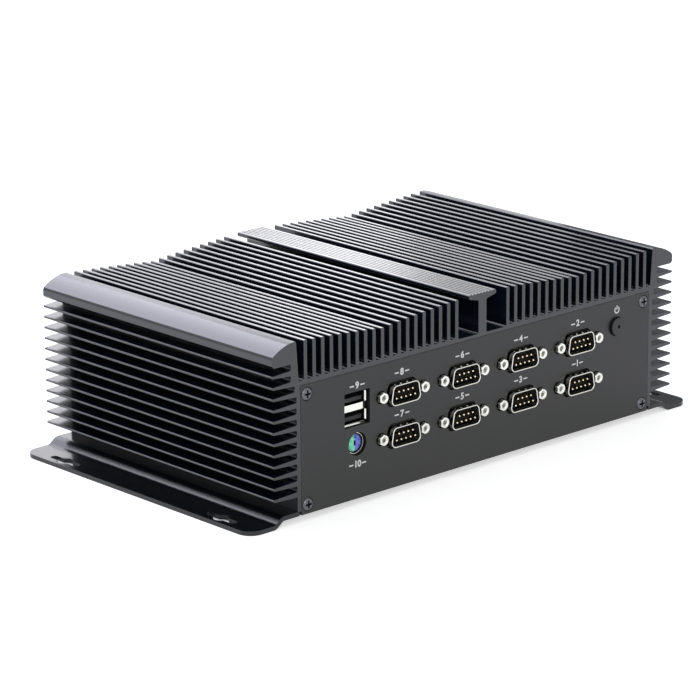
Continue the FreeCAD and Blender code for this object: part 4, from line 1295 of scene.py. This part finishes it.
# ---------------------------------------------------------------- printed marks
@dataclass(frozen=True)
class PanelMarks:
    """Numerals and one power sign printed on the front panel.

    Attributes:
        figure_height: Height of a numeral.
        above: Distance from a serial port's middle up to the middle of its numeral.
        data_above: The same for the flat data ports.
        ring_below: Distance from the round port's middle down to its numeral.
        button_above: Distance from the button's middle up to its sign.
        dash: Length of the dash on each side of a numeral.
        dash_gap: Distance from the numeral to a dash.
        line: Width of a printed line.
        weight: Thickening of the numerals' strokes to each side.
        thickness: Thickness of the ink.
        sign_radius: Middle radius of the power sign's ring.
        sign_gap: Half of the ring's gap, in degrees.
        sign_bar: Height of its bar's middle, and length of the bar, as shares of that radius.
        cap_share: Height of a numeral as a share of the type's size.
        slot: Material slot that the ink belongs to.
    """

    figure_height: float = 2.9
    above: float = 9.2
    data_above: float = 10.5
    ring_below: float = 9.2
    button_above: float = 7.9
    dash: float = 2.5
    dash_gap: float = 0.8
    line: float = 0.62
    weight: float = 0.15
    thickness: float = 0.03
    sign_radius: float = 1.45
    sign_gap: float = 38.0
    sign_bar: Point = (0.75, 1.3)
    cap_share: float = 0.7
    slot: str = "panel_black"

    def figure(self, text: str) -> Mesh:
        """Flat outline of a numeral, upright around the origin.

        Args:
            text: The numeral.

        Returns:
            Its mesh, in metres.
        """
        curve = bpy.data.curves.new("figure_" + text, "FONT")
        curve.body = text
        curve.size = self.figure_height / self.cap_share * MM
        curve.align_x, curve.align_y = "CENTER", "CENTER"
        curve.offset = self.weight * MM
        curve.resolution_u = 6
        letters = bpy.data.objects.new("figure_curve", curve)
        mesh = bpy.data.meshes.new_from_object(letters)
        bm = bmesh.new()
        bm.from_mesh(mesh)
        bpy.data.objects.remove(letters)
        bpy.data.curves.remove(curve)
        bpy.data.meshes.remove(mesh)
        bmesh.ops.rotate(bm, verts=bm.verts[:], cent=(0, 0, 0),
                         matrix=Matrix.Rotation(math.radians(90), 3, "X"))
        return bm

    def numeral(self, text: str, x: float, z: float) -> None:
        """Print a numeral between two dashes.

        Args:
            text: The numeral.
            x: Its middle.
            z: Its middle height.
        """
        bm = self.figure(text)
        width = max(v.co.x for v in bm.verts) - min(v.co.x for v in bm.verts)
        front = outer_face("front_panel")[0] - self.thickness
        bmesh.ops.translate(bm, verts=bm.verts[:], vec=(x * MM, front * MM, z * MM))
        solid = bmesh.ops.extrude_face_region(bm, geom=bm.faces[:])
        back = [v for v in solid["geom"] if isinstance(v, Vert)]
        bmesh.ops.translate(bm, verts=back, vec=(0, self.thickness * MM, 0))
        reach = width / 2 / MM + self.dash_gap + self.dash / 2
        for side in (-1, 1):
            self.bar(bm, x + side * reach, z, self.dash, self.line)
        finish_piece("mark_" + text, bm, self.slot, INK)

    def bar(self, bm: Mesh, x: float, z: float, wide: float, high: float) -> None:
        """Add a printed bar by its middle, width and height."""
        rim, place = rectangle(wide / 2, high / 2), Vector((x, outer_face("front_panel")[0], z))
        sweep(bm, [(rim, -self.thickness), (rim, 0.0)], place)

    def power_sign(self, x: float, z: float) -> None:
        """Print an open ring with a bar in its gap.

        Args:
            x: Its middle.
            z: Its middle height.
        """
        bm = bmesh.new()
        place = Vector((x, outer_face("front_panel")[0], z))
        steps, gap, half, loops = 36, math.radians(self.sign_gap), self.line / 2, []
        for angle in (math.pi / 2 + gap + (2 * math.pi - 2 * gap) * n / steps
                      for n in range(steps + 1)):
            spots = [((self.sign_radius + out) * math.cos(angle), -up,
                      (self.sign_radius + out) * math.sin(angle))
                     for out, up in ((-half, 0), (half, 0), (half, self.thickness),
                                     (-half, self.thickness))]
            loops.append([bm.verts.new((place + Vector(spot)) * MM) for spot in spots])
        skin(bm, loops, capped=True)
        raised, length = (share * self.sign_radius for share in self.sign_bar)
        self.bar(bm, x, z + raised, self.line, length)
        finish_piece("mark_power", bm, self.slot, INK)

    def build(self, serial_ports: Sequence[str]) -> None:
        """Print every mark of the front panel.

        Args:
            serial_ports: Shell node of each serial port, the first one numbered 1.
        """
        for number, place in enumerate(map(middle, serial_ports), start=1):
            self.numeral(str(number), place.x, place.z + self.above)
        data, ring = middle("front_data_port_shell"), middle("round_port_ring")
        button = middle("power_button")
        self.numeral("9", data.x, data.z + self.data_above)
        self.numeral("10", ring.x, ring.z - self.ring_below)
        self.power_sign(button.x, button.z + self.button_above)


# ---------------------------------------------------------------- studio
@dataclass(frozen=True)
class Studio:
    """Pale floor, white surroundings, soft lamps and the camera.

    Attributes:
        floor_radius: Radius of the floor, in metres.
        ambient: Strength of the surroundings' light on the object.
        floor_glow: White that the floor adds where it is seen straight or in a reflection.
        flange_inset: How far the floor's glow reaches under each flange, in metres; beyond it the glow
            is cut, a painted shade.
        panel_inset: How far it reaches under the front and the back, in metres.
        mask_blur: Width of the edge of the glow's mask, in metres.
        strip_height: Height of the lower lamps behind the object, in metres.
        camera_place: Place of the camera, in metres.
        azimuth: Turn of the view from straight along +Y, in degrees.
        elevation: How far the view looks down, in degrees.
        roll: Turn of the camera about its own line of sight, in degrees.
        lens: Focal length, in millimetres on a sensor 36 wide.
    """

    floor_radius: float = 8.0
    ambient: float = 0.5
    floor_glow: float = 0.57
    flange_inset: float = 0.002
    panel_inset: float = 0.018
    mask_blur: float = 0.004
    strip_height: float = 0.6
    camera_place: tuple[float, float, float] = (-1.05101, -1.13379, 0.49367)
    azimuth: float = -42.604
    elevation: float = 16.407
    roll: float = -0.368
    lens: float = 178.87

    def seen(self, tree: Tree) -> Wire:
        """Number that is 1 for what is seen straight or in a reflection."""
        path = add_node(tree, "ShaderNodeLightPath").outputs
        return add_maths(tree, "MAXIMUM", path["Is Camera Ray"], path["Is Glossy Ray"])

    def world(self) -> None:
        """White for what is seen straight or in a reflection, and softer as light."""
        world = bpy.data.worlds.new("studio")
        bpy.context.scene.world = world
        world.use_nodes = True
        tree = world.node_tree
        tree.nodes.clear()
        path = add_node(tree, "ShaderNodeLightPath").outputs
        through = add_maths(tree, "MAXIMUM", self.seen(tree), path["Is Transmission Ray"])
        light = add_node(tree, "ShaderNodeBackground",
                         {"Color": (0.97, 0.98, 1.0, 1.0), "Strength": self.ambient})
        white = add_node(tree, "ShaderNodeBackground", {"Color": (1.0, 1.0, 1.0, 1.0)})
        mix = add_node(tree, "ShaderNodeMixShader",
                       {0: through, 1: light.outputs[0], 2: white.outputs[0]})
        add_node(tree, "ShaderNodeOutputWorld", {"Surface": mix.outputs[0]})

    def floor(self) -> None:
        """Round pale floor that takes the object's shadow; its glow is cut beneath the object, a painted
        shade.
        """
        made, shader = new_material("pale_floor")
        tree = made.node_tree
        feed(tree, shader, {"Base Color": (0.86, 0.86, 0.86, 1.0), "Roughness": 0.9,
                            "Specular IOR Level": 0.0})
        # The glow is cut beneath the object by a mask, painting shade there.
        level = add_maths(tree, "MULTIPLY", self.seen(tree), self.floor_glow)
        glow = add_node(tree, "ShaderNodeEmission",
                        {"Color": (1.0, 1.0, 1.0, 1.0),
                         "Strength": add_maths(tree, "MULTIPLY", level, self.outside(tree))})
        both = add_node(tree, "ShaderNodeAddShader", {0: shader.outputs[0], 1: glow.outputs[0]})
        feed(tree, tree.nodes["Material Output"], {"Surface": both.outputs[0]})
        bm = bmesh.new()
        bmesh.ops.create_circle(bm, cap_ends=True, segments=96, radius=self.floor_radius)
        floor = put_mesh("floor", bm, made)
        floor.location.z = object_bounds()[0][2] - 0.00005
        floor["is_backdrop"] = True

    def outside(self, tree: Tree) -> Wire:
        """Mask that cuts the floor's glow beneath the object, a painted shade.

        Args:
            tree: The floor material's node tree.

        Returns:
            Number that is 0 beneath the object and 1 past its edges.
        """
        place = add_node(tree, "ShaderNodeNewGeometry").outputs["Position"]
        split = add_node(tree, "ShaderNodeSeparateXYZ", {0: place}).outputs
        away = [add_maths(tree, "SUBTRACT", add_maths(tree, "ABSOLUTE", split[axis]), half)
                for axis, half in (("X", cad_box[1][0] - self.flange_inset),
                                   ("Y", cad_box[1][1] - self.panel_inset))]
        soft = add_node(tree, "ShaderNodeMapRange",
                        {"Value": add_maths(tree, "MAXIMUM", *away), "From Min": -self.mask_blur,
                         "From Max": 0.0})
        return soft.outputs[0]

    def lamp(self, name: str, place: Vector, aim: Vector, size: tuple[float, float], radiance: float,
             colour: Colour = (1.0, 1.0, 1.0)) -> None:
        """Add a soft lamp that the camera doesn't see.

        Args:
            name: Name of the lamp.
            place: Where it stands.
            aim: Where it points.
            size: Width and height of its face.
            radiance: How bright its face looks, where 1 is white.
            colour: Its colour.
        """
        data = bpy.data.lights.new(name, "AREA")
        data.shape = "RECTANGLE"
        data.size, data.size_y = size
        data.energy = radiance * math.pi * size[0] * size[1]
        data.color = colour
        lamp = put_object(name, data)
        lamp.location = place
        lamp.rotation_euler = (aim - place).to_track_quat("-Z", "Y").to_euler()
        lamp.visible_camera = False
        log.info("lamp %s: %.1f W", name, data.energy)

    def lamps(self) -> None:
        """Soft boxes behind the object, one overhead and a fill in front."""
        centre = Vector((0.0, 0.0, 0.05))
        across = Vector((0.7348, -0.678, 0.0))
        behind = centre + Vector((0.9735, 1.059, 0.554))
        strips = (("behind_low", -0.25, 0.3, 1.95, (0.92, 0.91, 1.0)),
                  ("behind_middle", -0.025, 0.15, 3.9, (0.96, 0.96, 1.0)),
                  ("behind_right", 0.145, 0.19, 0.8, (0.93, 0.94, 1.0)))
        for name, offset, width, radiance, colour in strips:
            self.lamp(name, behind + across * offset, centre, (width, self.strip_height), radiance,
                      colour)
        rail = Vector((-0.118, 0.0, 0.075))
        high = rail + Vector((-0.02, 0.706, 0.68)) * 1.5
        self.lamp("behind_high", high, rail, (1.65, 0.72), 4.0, (0.84, 0.84, 1.0))
        self.lamp("overhead", Vector((-0.25, -0.5, 1.6)), centre, (1.4, 1.0), 0.6)
        self.lamp("front_fill", Vector((-0.9, -1.5, 0.9)), centre, (1.2, 0.9), 1.6)

    def grey_card(self) -> None:
        """Grey card behind the right end, seen only in reflections."""
        made, shader = new_material("grey_card")
        feed(made.node_tree, shader, {"Base Color": (0.3, 0.31, 0.3, 1.0), "Roughness": 0.9})
        bm = bmesh.new()
        bmesh.ops.create_grid(bm, x_segments=1, y_segments=1, size=0.5)
        card = put_mesh("grey_card", bm, made)
        card.scale = (0.29, 0.158, 1.0)
        card.location = (0.386, 0.036, 0.079)
        card.rotation_euler = Vector((-0.677, -0.736, 0.0)).to_track_quat("Z", "Y").to_euler()
        for ray in ("camera", "diffuse", "transmission", "volume_scatter", "shadow"):
            setattr(card, "visible_" + ray, False)
        card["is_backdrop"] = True

    def camera(self) -> None:
        """The camera, at its place and angle."""
        data = bpy.data.cameras.new("camera")
        data.lens = self.lens
        data.sensor_width = 36.0
        data.clip_end = 50.0
        camera = put_object("camera", data)
        turn = (Matrix.Rotation(math.radians(self.azimuth), 4, "Z")
                @ Matrix.Rotation(math.radians(90.0 - self.elevation), 4, "X")
                @ Matrix.Rotation(math.radians(self.roll), 4, "Z"))
        camera.matrix_world = Matrix.Translation(self.camera_place) @ turn
        bpy.context.scene.camera = camera

    def build(self) -> None:
        """Set up the whole studio."""
        bpy.context.scene.view_settings.view_transform = "Standard"
        self.camera()
        self.world()
        self.floor()
        self.lamps()
        self.grey_card()


def main() -> None:
    """Dress the solids, add the fine pieces and set up the studio."""
    logging.basicConfig(level=logging.INFO, format="%(name)s: %(message)s")
    Studio().build()
    dress_solids()
    serial_ports = [f"serial_port_{number}_shell" for number in range(1, 9)]
    for node in serial_ports:
        PressedShell(node).build()
    Jackscrews("serial_port_jackscrews").build(serial_ports)
    for stack in range(4):
        ContactPins(f"serial_stack_{stack + 1}_pins").build(serial_ports[2 * stack:2 * stack + 2])
    for node in ("front_panel_screws", "rear_panel_screws"):
        PanelScrews(node).build()
    RoundPortHalf("round_port_mouse_half", -1, GREEN_PLASTIC, "mouse_green").build()
    RoundPortHalf("round_port_keyboard_half", 1, VIOLET_PLASTIC, "keyboard_violet").build()
    RoundPortRing().build()
    FlaredLips().build()
    OpeningLiners().build()
    ShallowGrooves().build()
    PanelMarks().build(serial_ports)


if __name__ == "__main__":
    main()
